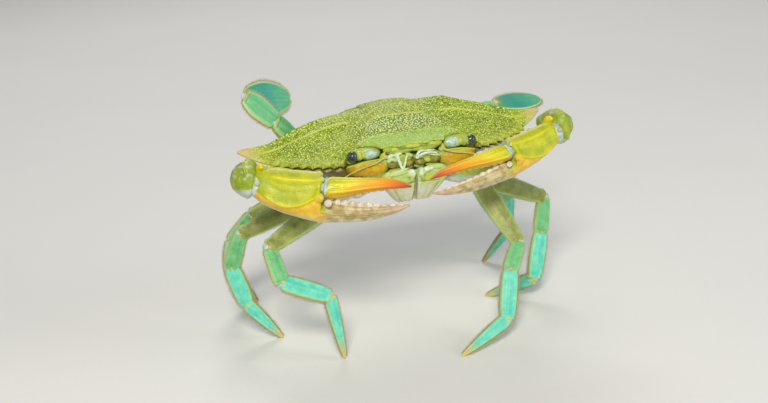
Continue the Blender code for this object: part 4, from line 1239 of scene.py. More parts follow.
# Joints: socket, knee, wrist, paddle root, paddle tip; the paddle's face; how it is set aside.
SWIMMING_LEGS = {
    "swimmer_right": (
        [
            (-13.2, 16.8, -11.4), (-28.2, 25.4, -6.2), (-36.2, 22.6, 4.2), (-46, 22.5, 14.4),
            (-27.6, 29.4, 10.6),
        ],
        (0.36, -0.87, 0.35), (-0.72, 1.74, -0.7),
    ),
    "swimmer_left": (
        [
            (13.2, 16.8, -11.4), (28.2, 25.4, -8), (37.6, 26.4, -5.4), (50, 29.4, -2.6),
            (70.4, 34.4, -3.6),
        ],
        (0.05, -0.3, 0.95), (0.6, 0.15, 0),
    ),
}
# (share from joint to joint, half width, half thickness) in mm
LEG_PROFILES = {
    "hip": [(0, 2.5, 2.2), (0.2, 3.1, 2.6), (0.7, 3, 2.4), (1, 2.6, 2.2)],
    "merus": [
        (0, 2.3, 1.9), (0.1, 3.2, 2.1), (0.35, 3.8, 2.2), (0.7, 3.2, 2), (0.92, 2.7, 1.9), (1, 2.5, 1.8),
    ],
    "carpus": [(0, 2.1, 1.6), (0.2, 2.5, 1.8), (0.75, 2.9, 1.8), (1, 2.6, 1.6)],
    "propodus": [(0, 2.2, 1.4), (0.2, 2.9, 1.6), (0.6, 3, 1.6), (0.85, 2.7, 1.5), (1, 2.2, 1.3)],
    "dactyl": [
        (0, 2, 1.2), (0.12, 2.3, 1.3), (0.4, 2, 1.15), (0.7, 1.4, 0.85), (0.9, 0.8, 0.6), (1, 0.4, 0.38),
    ],
}
SWIMMER_PROFILES = {
    "merus": [(0, 2.6, 2.2), (0.35, 3.4, 2.8), (0.7, 4.6, 2.9), (0.92, 4, 2.6), (1, 3.2, 2.2)],
    "carpus": [(0, 2.8, 1.9), (0.3, 3.7, 2.2), (0.75, 3.8, 2), (1, 3.2, 1.7)],
    "propodus": [(0, 2.8, 1.4), (0.2, 3.8, 1.4), (0.6, 4.4, 1.2), (0.88, 3.4, 1), (1, 2.4, 0.8)],
}
PADDLE_PROFILE = [
    (0, 1.6, 0.6), (0.06, 3.2, 0.75), (0.2, 5, 0.8), (0.45, 6.2, 0.75), (0.7, 5.6, 0.65),
    (0.88, 3.9, 0.5), (0.97, 2, 0.4), (1, 0.9, 0.3),
]
LEG_SIDES, SWIMMER_SIDES, PADDLE_SIDES = 36, 48, 72
LEG_RINGS, PADDLE_RINGS = 52, 84
OVERSHOOT = 0.7  # how far a piece reaches into its joints
# Height of the ridges and grooves that run along each piece.
KEELS = {"hip": 0.1, "merus": 0.16, "carpus": 0.34, "propodus": 0.36, "dactyl": 0.30}


def leg_relief(part, share, across):
    """Keels and grooves along a leg piece, with a collar before its far joint."""
    body = within(share, 0.03, 0.14, 0.86, 0.99)
    lines = bell(across, 0, 0.16) - bell(across, 0.42, 0.12) - bell(across, -0.42, 0.12)
    height = KEELS[part] * (0.7 * lines + 0.8 * bell(np.abs(across), 0.78, 0.12)) * body
    collar = 0.22 * bell(share, 0.95, 0.02) - 0.2 * bell(share, 0.90, 0.02)
    return height + collar * (part != "dactyl")


def leg_form(part, rows, start, end, flat, sides):
    """One piece between two joints, reaching a little into both."""
    toe, over = part == "dactyl", unit(end - start) * OVERSHOOT
    path = [start - over, end + over * (not toe)]
    rounding = (1.6, 0.5 if toe else 1.4)
    form = limb(path, flat, rows, sides, LEG_RINGS, 0.88, rounding, partial(leg_relief, part))
    form.pushed(noise(form.points, 1, 31) * 0.05)
    along, side, _ = form.masks.values()
    form.mask(edge=0.85 * ease(np.abs(side), 0.62, 0.97))
    if toe:
        form.mask(spot=0.9 * bell(along, 0.02, 0.04), tip=ease(along, 0.6, 0.97))
    elif part in ("propodus", "carpus"):
        form.mask(spot=0.85 * bell(along, 0.985, 0.03))
    return form


def joint_ball(place, before, after, flat, row, share):
    """The soft skin of a joint and its two hard knobs, sized by its piece's last row."""
    bend = unit(before + after)
    across = unit(np.cross(flat, bend))
    face = np.cross(bend, across) * row[2] * share
    wide = row[1] * share
    skin = ball(place, np.array([across * wide, face, bend * wide * 0.8]), 18, 11, soft=1)
    hard = [knob(place + face * sign * 0.96, 0.62, soft=0.15, spot=0.9) for sign in (1, -1)]
    return joined([skin, *hard])


def jointed(profiles, joints, flats, sides, share):
    """The pieces of a leg by name, each with the joint at its far end."""
    ways = unit(np.diff(joints, axis=0))
    pieces = {}
    for k, (part, rows) in enumerate(profiles.items()):
        form = leg_form(part, rows, joints[k], joints[k + 1], flats[k], sides)
        if part != "dactyl":
            joint = joint_ball(joints[k + 1], ways[k], ways[k + 1], flats[k], rows[-1], share)
            form = joined([form, joint])
        pieces[part] = form
    return pieces


def walking_leg(name):
    """The five pieces of a walking leg by name."""
    joints = np.array(WALKING_LEGS[name])
    ways = unit(np.diff(joints, axis=0))
    flat = unit(np.cross(ways[1], ways[3]))
    pieces = jointed(LEG_PROFILES, joints, [flat] * 5, LEG_SIDES, 0.86)
    flattened(pieces["dactyl"], (0, 0, FLOOR_LEVEL), (0, 0, -1))
    return pieces


def paddle_relief(share, across):
    rim = bell(np.abs(across), 1, 0.10) + bell(share, 1, 0.015)
    spine = bell(across, 0.06 * np.sin(share * 3), 0.07) * ease(share, 0.9, 0.4)
    return 0.12 * rim + 0.16 * spine


def paddle_masks(form):
    """Rim, root spot and the fan of fine veins of a paddle."""
    along, side, _ = form.masks.values()
    off = np.abs(side)
    lines = np.abs(np.sin(side * (1.25 - 0.6 * along) * 13))
    return form.mask(
        edge=np.clip(ease(off, 0.86, 0.99) + ease(along, 0.965, 0.995), 0, 1),
        spot=bell(along, 0.05, 0.05) * bell(side, 0.3, 0.5),
        vein=bell(lines, 0, 0.30) * ease(along, 0.1, 0.3) * ease(off, 0.95, 0.8),
    )


def swimming_leg(name):
    """The four pieces of a swimming leg by name."""
    joints, flat, shift = (np.array(part) for part in SWIMMING_LEGS[name])
    slant = (flat + (0, -0.5, 1)) / 2
    pieces = jointed(SWIMMER_PROFILES, joints, [slant, slant, flat], SWIMMER_SIDES, 0.8)
    path = joints[3:] + shift
    form = limb(path, flat, PADDLE_PROFILE, PADDLE_SIDES, PADDLE_RINGS, 1, (1.4, 0.8), paddle_relief)
    pieces["paddle"] = paddle_masks(form)
    return pieces


def paddle_finish(c):
    """Turquoise paddle, greener at its root, with fine veins and a pale rim."""
    f = Finish("paddle_skin", roughness=0.38, coat=0.1, coat_rough=0.2)
    run = f.plus(f.mask("along"), f.times(f.less(f.mottle(240, 0.3), 0.5), 0.5))
    colour = f.layers(
        f.ramp(run, (0, c.paddle_green), (0.45, c.paddle_teal), (1, c.paddle_mint)),
        ("vein", 0.45, c.paddle_vein),
        ("edge", 0.85, c.rim_pale),
        ("spot", 1, f.clouds(600, c.spot_orange, c.ridge_yellow)),
    )
    return f.done(colour, f.plus(f.grain(1400, 0.4), f.times(f.mask("vein"), 0.6)), 0.0001)


# ---- eyes and feelers ----
EYE_ROOT, EYE_TIP = (10.6, -20.6, -0.5), (19.2, -22.4, -0.1)  # ends of the left eyestalk
EYE_RADIUS, EYE_BEYOND = 1.9, 1.55  # size of a cornea, and its centre's way past the stalk's tip
STALK_PROFILE = [
    (0, 0.9, 0.9), (0.15, 1.5, 1.4), (0.4, 1.8, 1.65), (0.62, 1.7, 1.55), (0.78, 1.4, 1.35),
    (0.92, 1.6, 1.55), (1, 1.5, 1.45),
]


def stalk_relief(share, across):
    """A collar under the cornea."""
    return 0.16 * bell(share, 0.90, 0.03) - 0.14 * bell(share, 0.80, 0.03)


def stalk_form(end):
    """The eyestalk: a swollen stem with a collar under the cornea."""
    path = sided([EYE_ROOT, EYE_TIP], SIDES[end])
    form = limb(path, (0, -1, 0), STALK_PROFILE, 44, 56, 1, (0.6, 0), stalk_relief)
    form.pushed(noise(form.points, 0.8, 41) * 0.06)
    along, (_, y, z) = form.masks["along"], form.points.T
    return form.mask(patch=within(along, 0.16, 0.28, 0.62, 0.74) * ease(0.6 * z - y, 20.4, 21.2))


def eye_form(end):
    """The round cornea, with a pale rim where it meets the stalk."""
    root, tip = sided([EYE_ROOT, EYE_TIP], SIDES[end])
    way = unit(tip - root)
    centre = tip + way * EYE_BEYOND
    form = knob(centre, EYE_RADIUS, (1, 1, 1.02), way, sides=48, rings=32)
    return form.mask(rim=ease((form.points - centre) @ way / EYE_RADIUS, -0.42, -0.62))


def stalk_finish(c):
    """Green stalk with a blue-white marbled patch on its front."""
    f = Finish("eyestalk_skin", roughness=0.3, coat=0.4, coat_rough=0.15)
    marble = f.clouds(1100, c.stalk_blue, c.stalk_white, 0.1)
    marble = f.layers(marble, (f.dots(1500, 0.32, 0.2), 0.5, c.stalk_dark))
    colour = f.layers(f.clouds(600, c.stalk_green, c.pale_edge), ("patch", 0.9, marble))
    return f.done(colour, f.grain(1500), 0.0001)


def eye_finish(c):
    """Near-black glossy cornea with a fine facet pattern, grey-green specks and clouds of painted sheen."""
    f = Finish("eye_cornea", roughness=0.2, coat=0.8, coat_rough=0.04)
    specks = f.dots(2300, 0.34, 0.12, 0.2)
    # Painted reflection: the greenish clouds stand for the cornea's teal sheen.
    clouds = f.clouds(500, c.eye_black, c.eye_green, 0.18)
    colour = f.layers(clouds, (specks, 0.6, c.eye_speck), ("rim", 1, c.pale_edge))
    return f.done(colour, f.dots(5200, 0.6, 0.2), 0.00002)


ANTENNA_ROUTE = [
    (9.6, -24.1, -1), (13.4, -25.3, -2.5), (17.2, -25.8, -3.2), (22, -26.2, -4.4), (27, -26.8, -6.4),
]
# Joints of an antenna's base: place from the root, radius, squash, points round it and rings.
ANTENNA_JOINTS = [
    (0.2, 0.4, -0.4, 0.9, 0.9, 20, 13), (1.2, -0.4, -0.5, 0.55, 1, 18, 11), (2.3, -0.8, -0.9, 0.4, 1, 18, 11),
]
# Each antennule folds down and back on itself, in its own way.
ANTENNULES = {
    -1: [(6.2, -21.9, -1.6), (5.9, -24, -1.5), (5.4, -25, -3.6), (4.6, -25.5, -6.1)],
    1: [(5.2, -21.9, -1.6), (2.6, -23.4, -1.2), (1.2, -24.3, -1.9), (0.9, -24.5, -2.9)],
}
LASHES = {
    -1: [(4.6, -25.5, -6.1), (3.9, -25.4, -4.7), (3.2, -25.1, -3), (2.6, -24.7, -1.5)],
    1: [
        (0.9, -24.5, -2.9), (2.6, -24.9, -1.9), (5.4, -24.9, -1.6), (7.4, -24.6, -2.2),
        (8.9, -23.9, -3.6),
    ],
}


def antenna_form(end):
    """The thick base of an antenna and its ringed whip."""
    side = SIDES[end]
    route = sided(ANTENNA_ROUTE, side)
    whip = tube(route, [0.34, 0.26, 0.22, 0.19, 0.17, 0.15, 0.13], 12, 44)
    parts = [whip.pushed(0.035 * np.sin(whip.masks["along"] * 260))]
    for x, y, z, radius, squash, sides, rings in ANTENNA_JOINTS:
        place = route[0] + (side * x, y, z)
        parts.append(knob(place, radius, (1, 1, squash), sides=sides, rings=rings))
    return joined(parts)


def antennule_form(end):
    """The folded antennule: its stem, elbow and lash."""
    side = SIDES[end]
    stem, lash = (sided(table[side], side) for table in (ANTENNULES, LASHES))
    elbow = knob(stem[-1], 0.5, sides=16, rings=11)
    lash = tube(lash, [0.46, 0.44, 0.38, 0.28], 12, 20)
    lash.pushed(0.03 * np.sin(lash.masks["along"] * 90))
    return joined([tube(stem, [0.8, 0.7, 0.5, 0.42], 16, 16), lash, elbow])


def feeler_finish(name, c, pale, shade):
    """Clouded skin of a feeler with fine bluish flecks."""
    f = Finish(name, roughness=0.42, coat=0.2)
    colour = f.layers(f.clouds(900, pale, shade), (f.dots(1700, 0.3, 0.15), 0.4, c.stalk_blue))
    return f.done(colour, f.grain(2000), 0.00005)


# ---- the face ----
# Profiles of the face from its back wall forward and down, (y, z), at a distance from the midline.
FACE_PROFILES = [
    (0, "-17.9 0.9 -21.6 0.9 -20.4 -0.9 -20 -2.6 -22.4 -4.2 -21.6 -5.9 -20.6 -7.4 -20.6 -15.8 -17.9 -15.8"),
    (7, "-17.9 0.9 -21.2 0.9 -20.2 -0.8 -20 -2.4 -22.4 -4 -22.2 -6 -20.8 -7.6 -20.6 -15.2 -17.9 -15.2"),
    (9.6, "-17.9 0.9 -18.6 0.9 -18.5 -1 -19.4 -2.5 -22.8 -3 -23.6 -5.6 -22.4 -8.4 -20.6 -13.4 -17.9 -13.4"),
    (13, "-17.9 0.9 -18.3 0.9 -18.4 -1.2 -19.6 -2.7 -23.2 -2.5 -24.6 -5 -23.6 -8.4 -20.4 -11 -17.9 -11"),
    (17.4, "-17.9 0.9 -18.2 0.9 -18.5 -1.4 -20.2 -2.9 -23.6 -2.7 -24.4 -4.6 -22.8 -7 -19.8 -8 -17.9 -8"),
    (
        19.6,
        "-17.9 -3.3 -18.6 -3.3 -19.4 -3.3 -20.6 -3.3 -23.6 -3 -24.2 -4.6 -22.6 -6.8 -19.8 -7.6 -17.9 -7.6",
    ),
    (22.2, "-17.9 -4 -18.6 -4 -19.4 -3.9 -20.2 -3.8 -22 -3.7 -22.4 -4.5 -21.2 -5.8 -19.4 -6.4 -17.9 -6.4"),
]
# Folded joints of the short feelers on each side: centre, half width, half height, tilt, whiteness.
FOLDED_JOINTS = {
    1: [
        (2.6, -23.9, -2.7, 2.2, 0.5, -22, 0.7), (6.3, -23.9, -2.6, 2.7, 0.45, 20, 0.9),
        (4.6, -23.6, -1.2, 3.2, 0.42, 2, 0.9),
    ],
    -1: [
        (8.2, -23.6, -1.6, 1.3, 0.8, 30, 0.9), (6.6, -23.8, -2.9, 1.9, 0.75, -14, 0.55),
        (5.6, -23.5, -1.2, 1.7, 0.6, 8, 0.8), (8.6, -23.6, -3.1, 1, 0.8, 10, 0.35),
        (1.4, -23.4, -1.9, 1.5, 0.7, -24, 0.3),
    ],
}
# Lobes under the front edge: x, z, half width, half height, paleness.
BROW_LOBES = [
    (0.9, 0.9, 2.1, 0.75, 0.7), (3.9, 0.9, 2.3, 0.85, 0.1), (6.4, 0.8, 1.8, 0.75, 0.8),
    (8.5, 0.8, 1.9, 0.95, 0.3),
]
# Other lobes of the left side: centre, half lengths, tilt and masks.
FACE_LOBES = [
    ((2.3, -23.7, -4.7), (2, 1.2, 1.25), 5, {"olive": 1}),
    ((7.1, -23.9, -4.4), (2.4, 1.3, 1.3), -6, {"olive": 1}),
    ((4.7, -23.7, -4.3), (1.5, 1.2, 1), 5, {"margin": 0.4}),
    ((4.8, -22.8, -2.9), (4.6, 1.1, 1.5), -4, {"margin": 0.3}),
    ((4.8, -22.5, -0.2), (5.4, 1.1, 1.2), -2, {"margin": 0.15}),
    ((2, -22.8, -6.3), (1.9, 1, 0.7), 8, {"olive": 0.6, "white": 0.3}),
    ((6.6, -23.6, -6.3), (2.7, 1.1, 0.7), 8, {"olive": 0.4, "margin": 0.4}),
    ((15.4, -20.4, 0.7), (5.4, 1.5, 1.2), -2, {"margin": 0.25}),
    ((20.6, -21, -1.7), (1.9, 1.6, 1.3), 20, {"margin": 0.2, "brown": 0.3}),
    ((10.3, -22.9, -3.4), (1.5, 1.2, 2.4), 14, {"margin": 0.3}),
]
CHEEK_SPINE = [(10.6, -22.9, -1.6), (10.4, -23.6, -0.6), (10, -24.3, 0.5)]
FACE_WIDTH = 22.2  # from the midline to the face's outer ends
MARGIN = 4  # place round a profile of the rim under the eye
RIM_LINE = [
    (10.6, -23.6, -1.9), (13.2, -23.9, -2), (17.4, -24.2, -2.2), (20, -23.9, -2.7), (22, -22.6, -3.4),
]


def lobe(centre, reach, tilt=0, **masks):
    """An egg with half lengths `reach` along x, y and z, tilted by so many degrees about y."""
    a = math.radians(tilt)
    across, up = np.array([math.cos(a), 0, -math.sin(a)]), np.array([math.sin(a), 0, math.cos(a)])
    return ball(centre, [across * reach[0], up * reach[2], (0, -reach[1], 0)], 28, 17, **masks)


def face_skin():
    """The face: forehead, feeler pits, the lobed plate over the mouth, and cheeks."""
    half = [(x, *(float(v) for v in row.split())) for x, row in FACE_PROFILES]
    rows = [(-x, *row) for x, *row in half[:0:-1]] + half
    across = np.linspace(-FACE_WIDTH, FACE_WIDTH, 150)
    corners = np.transpose(profile_at(rows, across)).reshape(len(across), -1, 2)
    soft = [0.1, 0.5, 1, 1, 0.8, 1, 1, 1, 0.1]
    y, z = np.moveaxis([curve(points, 10, soft, closed=True) for points in corners], -1, 0)
    form = skinned(stacked(across[:, None], y, z), place=np.arange(y.shape[1]) / 10)
    p, side = form.masks["place"], np.abs(form.points[:, 0])
    cheek = ease(np.hypot((side - 15.8) / 6.8, (form.points[:, 2] + 4.6) / 2.5), 1.2, 0.7)
    margin = ease(side, 9.8, 11) * bell(p, MARGIN, 0.24)
    plate = ease(side, 10, 9)
    hollow = 0.25 * bell(p, 5.6, 0.2) + 0.35 * bell(side, 4.4, 2.6) * bell(p, 2.9, 0.4)
    keel = 0.4 * bell(side, 0, 0.5) * bell(p, 3.4, 0.7)
    form.pushed(0.5 * cheek + 0.3 * margin - plate * hollow + keel + noise(form.points, 0.9, 43) * 0.09)
    return form.mask(
        orange=cheek * ease(p, 3.5, 4.1),
        margin=np.clip(margin * 1.3, 0, 1),
        olive=plate * within(p, 3.6, 4.2, 5.6, 6.4),
        # The brown band at the outer ends and lower back of the face is partly painted shade under the
        # shell's overhang.
        brown=np.clip(ease(p, 6, 6.8) + ease(side, 19.6, 21.6), 0, 1) * ease(p, 3.9, 4.6),
    )


def face_lobes(side):
    """Folded feeler bases, ovals of the plate over the mouth, and beads under the eye."""
    found = [lobe(sided(at, side), reach, side * tilt, **masks) for at, reach, tilt, masks in FACE_LOBES]
    found.append(tube(sided(CHEEK_SPINE, side), [1, 0.7, 0.12], 14, 6, margin=1))
    for x, y, z, wide, high, tilt, tone in FOLDED_JOINTS[side]:
        masks = {"white": tone, "margin": 0.5 - tone / 2}
        found.append(lobe((side * x, y, z), (wide, 0.75, high), side * tilt, **masks))
    for x, z, wide, high, tone in BROW_LOBES:
        lift = 0.2 * math.sin(x * 2 + side)
        place = (side * x, -23.2 - 0.2 * lift, z + lift)
        found.append(lobe(place, (wide, 0.8, high), 30 * lift, margin=tone, olive=0.5 - tone / 2))
    line = resampled(curve(sided(RIM_LINE, side), 8), np.linspace(0, 1, 22))
    way, size = np.tile(unit((0, -0.75, 0.66)), (22, 1)), np.ones(22)
    return joined([*found, domes(line, way, 0.34 * size, 0.4 * size, 10).mask(margin=1)])


def face_finish(c):
    """Yellow-green face with orange cheeks, pale rims, olive plates and white feelers."""
    f = Finish("face_skin", roughness=0.42, coat=0.1, coat_rough=0.2)
    colour = f.layers(
        f.clouds(500, c.face_green, c.face_yellow),
        ("olive", 1, f.clouds(600, c.face_olive, c.face_dark)),
        # Partly painted shade under the shell's overhang.
        ("brown", 1, f.clouds(400, c.under_brown, c.face_dark)),
        ("orange", 1, f.clouds(700, c.cheek_orange, c.cheek_yellow)),
        ("margin", 1, c.pale_edge),
        ("white", 1, f.clouds(800, c.feeler_white, c.feeler_grey)),
    )
    return f.done(colour, f.grain(1500), 0.00012)


# ---- the mouth ----
# Height, inner edge, outer edge, front and back of each of the two outer mouth plates.
MOUTH_LEVELS = [
    (-6.9, 1.6, 9.8, -25, -22.8), (-8.6, 0.4, 11.2, -25.6, -22.4), (-11.6, 0.4, 10.8, -25, -21.8),
    (-15, 0.4, 8.6, -23.4, -21.1), (-18.2, 0.9, 6.2, -21.4, -18.6), (-19, 1.4, 5, -19.8, -17.4),
]
PALP = [(2.9, -25.2, -8.6), (1.7, -26, -7.2), (1.5, -26.4, -8.3), (2, -26.2, -9.6), (2.6, -25.8, -10.6)]
# Lobes along the top of each mouth plate: centre, half width, half height, tilt, whiteness.
MOUTH_LOBES = {
    1: [
        (4.2, -25.7, -6.9, 2.6, 1, -12, 1), (7.6, -25.1, -6.7, 2.5, 0.95, 4, 0.25),
        (9.7, -24.5, -7.5, 1.5, 1, 30, 0.4),
    ],
    -1: [
        (5.9, -25.4, -7.2, 3.9, 0.85, 6, 0.1), (6, -25.3, -6.4, 3.6, 0.4, 9, 0.9),
        (9.7, -24.5, -7.5, 1.5, 1, 30, 0.3),
    ],
}
SUTURE = -11.4  # level of the joint between the two main segments of a plate


def mouth_rings(levels):
    """Rings of a mouth plate as (x, y, z, share of the way to its outer edge)."""
    rings = []
    for z, inner, outer, front, back in zip(levels, *profile_at(MOUTH_LEVELS[::-1], levels)):
        section = [(inner, back), (inner, front + 0.6), (inner + 0.7, front)]
        section += [((inner + outer) / 2, front - 0.3), (outer - 0.9, front + 0.3)]
        section += [(outer, front + 1.3), (outer - 0.4, back)]
        ring = curve(section, 10, closed=True)
        near = np.clip((levels[-1] - z) / 0.8, 0.01, 1)
        size = 0.5 + 0.5 * math.sqrt(1 - (1 - near) ** 2)
        x, y = (ring.mean(0) + (ring - ring.mean(0)) * size).T
        rings.append(stacked(x, np.minimum(y, -18), z, (x - inner) / (outer - inner)))
    return np.array(rings)


def mouth_form(end):
    """One outer mouth plate: two segments, a narrow strip along their outside, a palp."""
    side = SIDES[end]
    rings = mouth_rings(np.linspace(-19, -6.9, 84))
    form = skinned(rings[..., :3] * (side, 1, 1), share=rings[..., 3])
    u, z = form.masks["share"], form.points[:, 2]
    grooves = bell(u, 0.755, 0.022) + ease(u, 0.74, 0.70) * bell(z, SUTURE - 0.9 * (u - 0.4), 0.2)
    hollow = 0.24 * bell(u, 0.44, 0.06) * ease(z, SUTURE - 0.4, SUTURE - 1.8)
    hollow = hollow + 0.28 * bell(u, 0.36, 0.15) * bell(z, -9.3, 0.9)
    ridges = 0.22 * bell(u, 0.08, 0.05) + 0.25 * bell(z, -7.6, 0.3) + 0.2 * bell(u, 0.87, 0.06)
    form.pushed(ridges - 0.45 * grooves - hollow + noise(form.points, 1, 47) * 0.09)
    white = np.clip(0.5 * ease(z, -8.2, -7.2) + bell(u, 0.05, 0.05), 0, 1)
    form.mask(groove=np.clip(grooves, 0, 1), white=white, low=ease(z, -10, -15))
    palp = tube(sided(PALP, side), [0.9, 1.25, 1, 0.7, 0.3], 18, 9)
    parts = [form, palp.mask(white=ease(palp.points[:, 2], -8.8, -7.6))]
    for x, y, z, wide, high, tilt, tone in MOUTH_LOBES[side]:
        parts.append(lobe((side * x, y, z), (wide, 1, high), side * tilt, white=tone))
    return joined(parts)


def mouth_finish(c):
    """Lime mouth plates with whitish edges, creamy below."""
    f = Finish("mouth_plates", roughness=0.42, coat=0.1, coat_rough=0.2)
    colour = f.layers(
        f.clouds(350, c.mouth_lime, c.mouth_mint),
        (f.dots(1300, 0.3, 0.15), 0.35, c.mouth_white),
        ("white", 1, f.clouds(700, c.mouth_white, c.mouth_mint)),
        ("low", 0.8, f.clouds(260, c.inner_white, c.belly_cream)),
        ("groove", 0.6, c.face_olive),
    )
    return f.done(colour, f.grain(1400), 0.0001)


# ---- the thorax and the apron ----
SEAM = 0.86  # share of the way from the middle to the outline where the walls start
BELLY_DEPTH = 13.2  # how far the thorax reaches below the seam
BREASTPLATE = -18.4  # level of the flat plate under the thorax
BELLY_MIDDLE = 12  # how far from the midline the sutures of the breastplate reach
# Sutures of the breastplate, from near the midline out to between the leg sockets.
SUTURES = [(-13, -15.4), (-7.6, -9.6), (-2.2, -3.2), (3.4, 3.6), (8.4, 11.2), (13, 18)]
SOCKETS = [
    (11.5, -12.2, -11.8), (15.2, -6.2, -13.8), (15.9, 0.2, -13.8), (15.5, 6.6, -13.6),
    (13.4, 16.8, -11.4),
]


def thorax_form():
    """The underside: steep side walls round leg sockets, and a flat plate with sutures."""
    out = BASE[:, :2] - CREST[:2]
    front, rear = (np.maximum(0, sign * unit(out)[:, 1]) ** 3 for sign in (-1, 1))
    power = 1.3 + 4.5 * front + 1.5 * rear
    levels = [(share, 0) for share in (0.2, 0.5, 0.8, SEAM)]
    for share in np.linspace(SEAM, 0.03, 72):
        levels.append((share, 0.4 + BELLY_DEPTH * (1 - (share / SEAM) ** power)))
    rings = [stacked(*(out * share + CREST[:2]).T, UNDER_SHELL - 0.1 - deep) for share, deep in levels]
    form = skinned(rings)
    x, y, z = form.points.T
    plan = stacked(np.abs(x), y)
    groove = 0
    for inner, outer in SUTURES:
        line = curve([(2.6, inner), (BELLY_MIDDLE, (inner + outer) / 2), (24, outer)], 6)
        groove = np.maximum(groove, bell(distance_to(plan, line), 0, 0.5))
    groove = groove * ease(z, -8, -12)
    away = [np.linalg.norm(stacked(np.abs(x), y, z) - centre, axis=1) for centre in SOCKETS]
    collar = bell(np.array(away), 4.2, 0.7).max(axis=0)
    rough = 0.12 * noise(form.points, 1.6, 51) + 0.5 * ease(z, -9, -14) * noise(form.points, 5, 53)
    form.pushed(-0.5 * groove + 0.45 * collar + rough)
    flattened(form, (0, 0, BREASTPLATE), (0, 0, -1))
    flattened(form, (0, -17.7, 0), (0, -1, 0))
    flattened(form, (0, 21.6, 0), (0, 1, 0.25))
    # The tops of the walls, under the shell, take a brown that is partly painted shade.
    return form.mask(groove=groove, wall=ease(form.points[:, 2], -14, -8))


# The apron along its middle: y, z and half width.
APRON_STATIONS = [
    (24.6, -5.6, 15.5), (24.6, -9.5, 14.2), (22.8, -14.6, 11.5), (18.4, -18.9, 9.4), (12, -19.7, 8.4),
    (4, -20, 5.6), (-3, -20, 2.9), (-8.6, -19.9, 1.3),
]
APRON_THICK = 1.6  # at the apron's edges


def apron_form():
    """The folded tail in its seven segments, narrowing to a blunt point."""
    line = curve(APRON_STATIONS, 14)
    segment = np.linspace(0, len(APRON_STATIONS) - 1, len(line))[:, None]
    way = unit(np.gradient(line[:, :2], axis=0))
    outward = stacked(way[:, 1], -way[:, 0])
    outward = outward * -np.sign(outward[-1, 1])
    a = 2 * np.pi * np.arange(60) / 60
    across, thick = np.cos(a), np.sign(np.sin(a)) * np.abs(np.sin(a)) ** 0.6
    lift = thick * (APRON_THICK / 2 + 0.5 * (1 - across**2) * (thick > 0))
    x = line[:, 2:] * across * (1 - 0.025 * bell(segment, np.round(segment), 0.06))
    y, z = (line[:, k, None] + outward[:, k, None] * lift for k in (0, 1))
    form = skinned(stacked(x, y, z), segment=segment)
    gap = np.abs(form.masks["segment"] - np.round(form.masks["segment"]))
    groove = bell(gap, 0, 0.05)
    form.pushed(-0.35 * groove + 0.14 * bell(gap, 0.12, 0.05) + noise(form.points, 1.4, 57) * 0.08)
    return form.mask(groove=groove)


def belly_finish(c):
    """Porcelain white underside with bluish clouds, dusky seams, and olive-brown walls that are partly
    painted shade under the shell.
    """
    f = Finish("belly_skin", roughness=0.4, coat=0.1, coat_rough=0.25)
    colour = f.layers(
        f.clouds(150, c.belly_white, c.belly_cream),
        (f.mottle(420, 0.15), 0.35, c.inner_blue),
        # Partly painted shade under the shell's overhang.
        ("wall", 0.8, f.clouds(300, c.under_brown, c.under_pale)),
        ("groove", 0.55, c.belly_seam),
    )
    return f.done(colour, f.grain(1100), 0.00012)


# ---- fringes of bristles ----
TILES = 8  # limbs side by side on the fringes' bake map, pieces of a limb above each other
HAIR = 0.055  # half thickness of a bristle at its root
# How long the bristles of each piece are, and the gap between them.
LEG_HAIRS = {"merus": (0.7, 0.3), "carpus": (0.9, 0.2), "propodus": (1.3, 0.13), "dactyl": (1.2, 0.13)}
SWIMMER_HAIRS = {"merus": (0.7, 0.12), "carpus": (0.9, 0.12), "propodus": (1.4, 0.12), "paddle": (1.7, 0.12)}


def edge_fringe(grid, tile, span, length, gap, seed):
    """Bristles along both edges of a limb, leaning toward its tip, with their bake map."""
    rng = np.random.default_rng(seed)
    start, stop = span
    sides, centre = grid.shape[1], grid.mean(axis=1)
    each, half = max(2, int(strides(centre).sum() * (stop - start) / gap)), sides // 2
    rows = []
    for column in (sides - 1, 0, 1, half - 1, half, half + 1):
        share = np.clip(start + (np.arange(each) + rng.random(each)) / each * (stop - start), 0, 1)
        root, middle = resampled(grid[:, column], share), resampled(centre, share)
        way = unit(np.gradient(middle, axis=0))
        rows.append(np.hstack([root, unit(root - middle), way, stacked(share, column / sides)]))
    root, away, way, uv = np.split(np.vstack(rows), [3, 6, 9], axis=1)
    lean = away + way * rng.uniform(0.3, 0.9, (len(root), 1)) + rng.normal(0, 0.16, root.shape)
    long = rng.uniform(0.6, 1.15, len(root)) * (0.5 + 0.5 * np.sin(np.pi * np.clip(uv[:, 0], 0.04, 0.96)))
    hair = bristles(root, lean, length * long, HAIR, (0, 0, -0.12))
    hair.points[:, 2] = np.maximum(hair.points[:, 2], FLOOR_LEVEL)
    return hair, patches(hair, (np.array(tile) + 0.05 + 0.9 * uv[:, ::-1]) / TILES)


def limb_fringes(name, pieces, hairs, sides, column, span, seed):
    """Fringes on the edges of a limb's pieces by the nodes they stand for."""
    made = {}
    for row, (part, form) in enumerate(pieces.items()):
        if part in hairs:
            shape = (PADDLE_RINGS, PADDLE_SIDES) if part == "paddle" else (LEG_RINGS, sides)
            grid = form.points[: math.prod(shape)].reshape(*shape, 3)
            made[f"{name}_{part}"] = edge_fringe(grid, (column, row), span, *hairs[part], seed + row)
    return made


def fringe_piece(name, made, finish):
    forms, maps = zip(*made.values())
    add_piece(name, joined(forms), finish, list(made), np.vstack(maps))


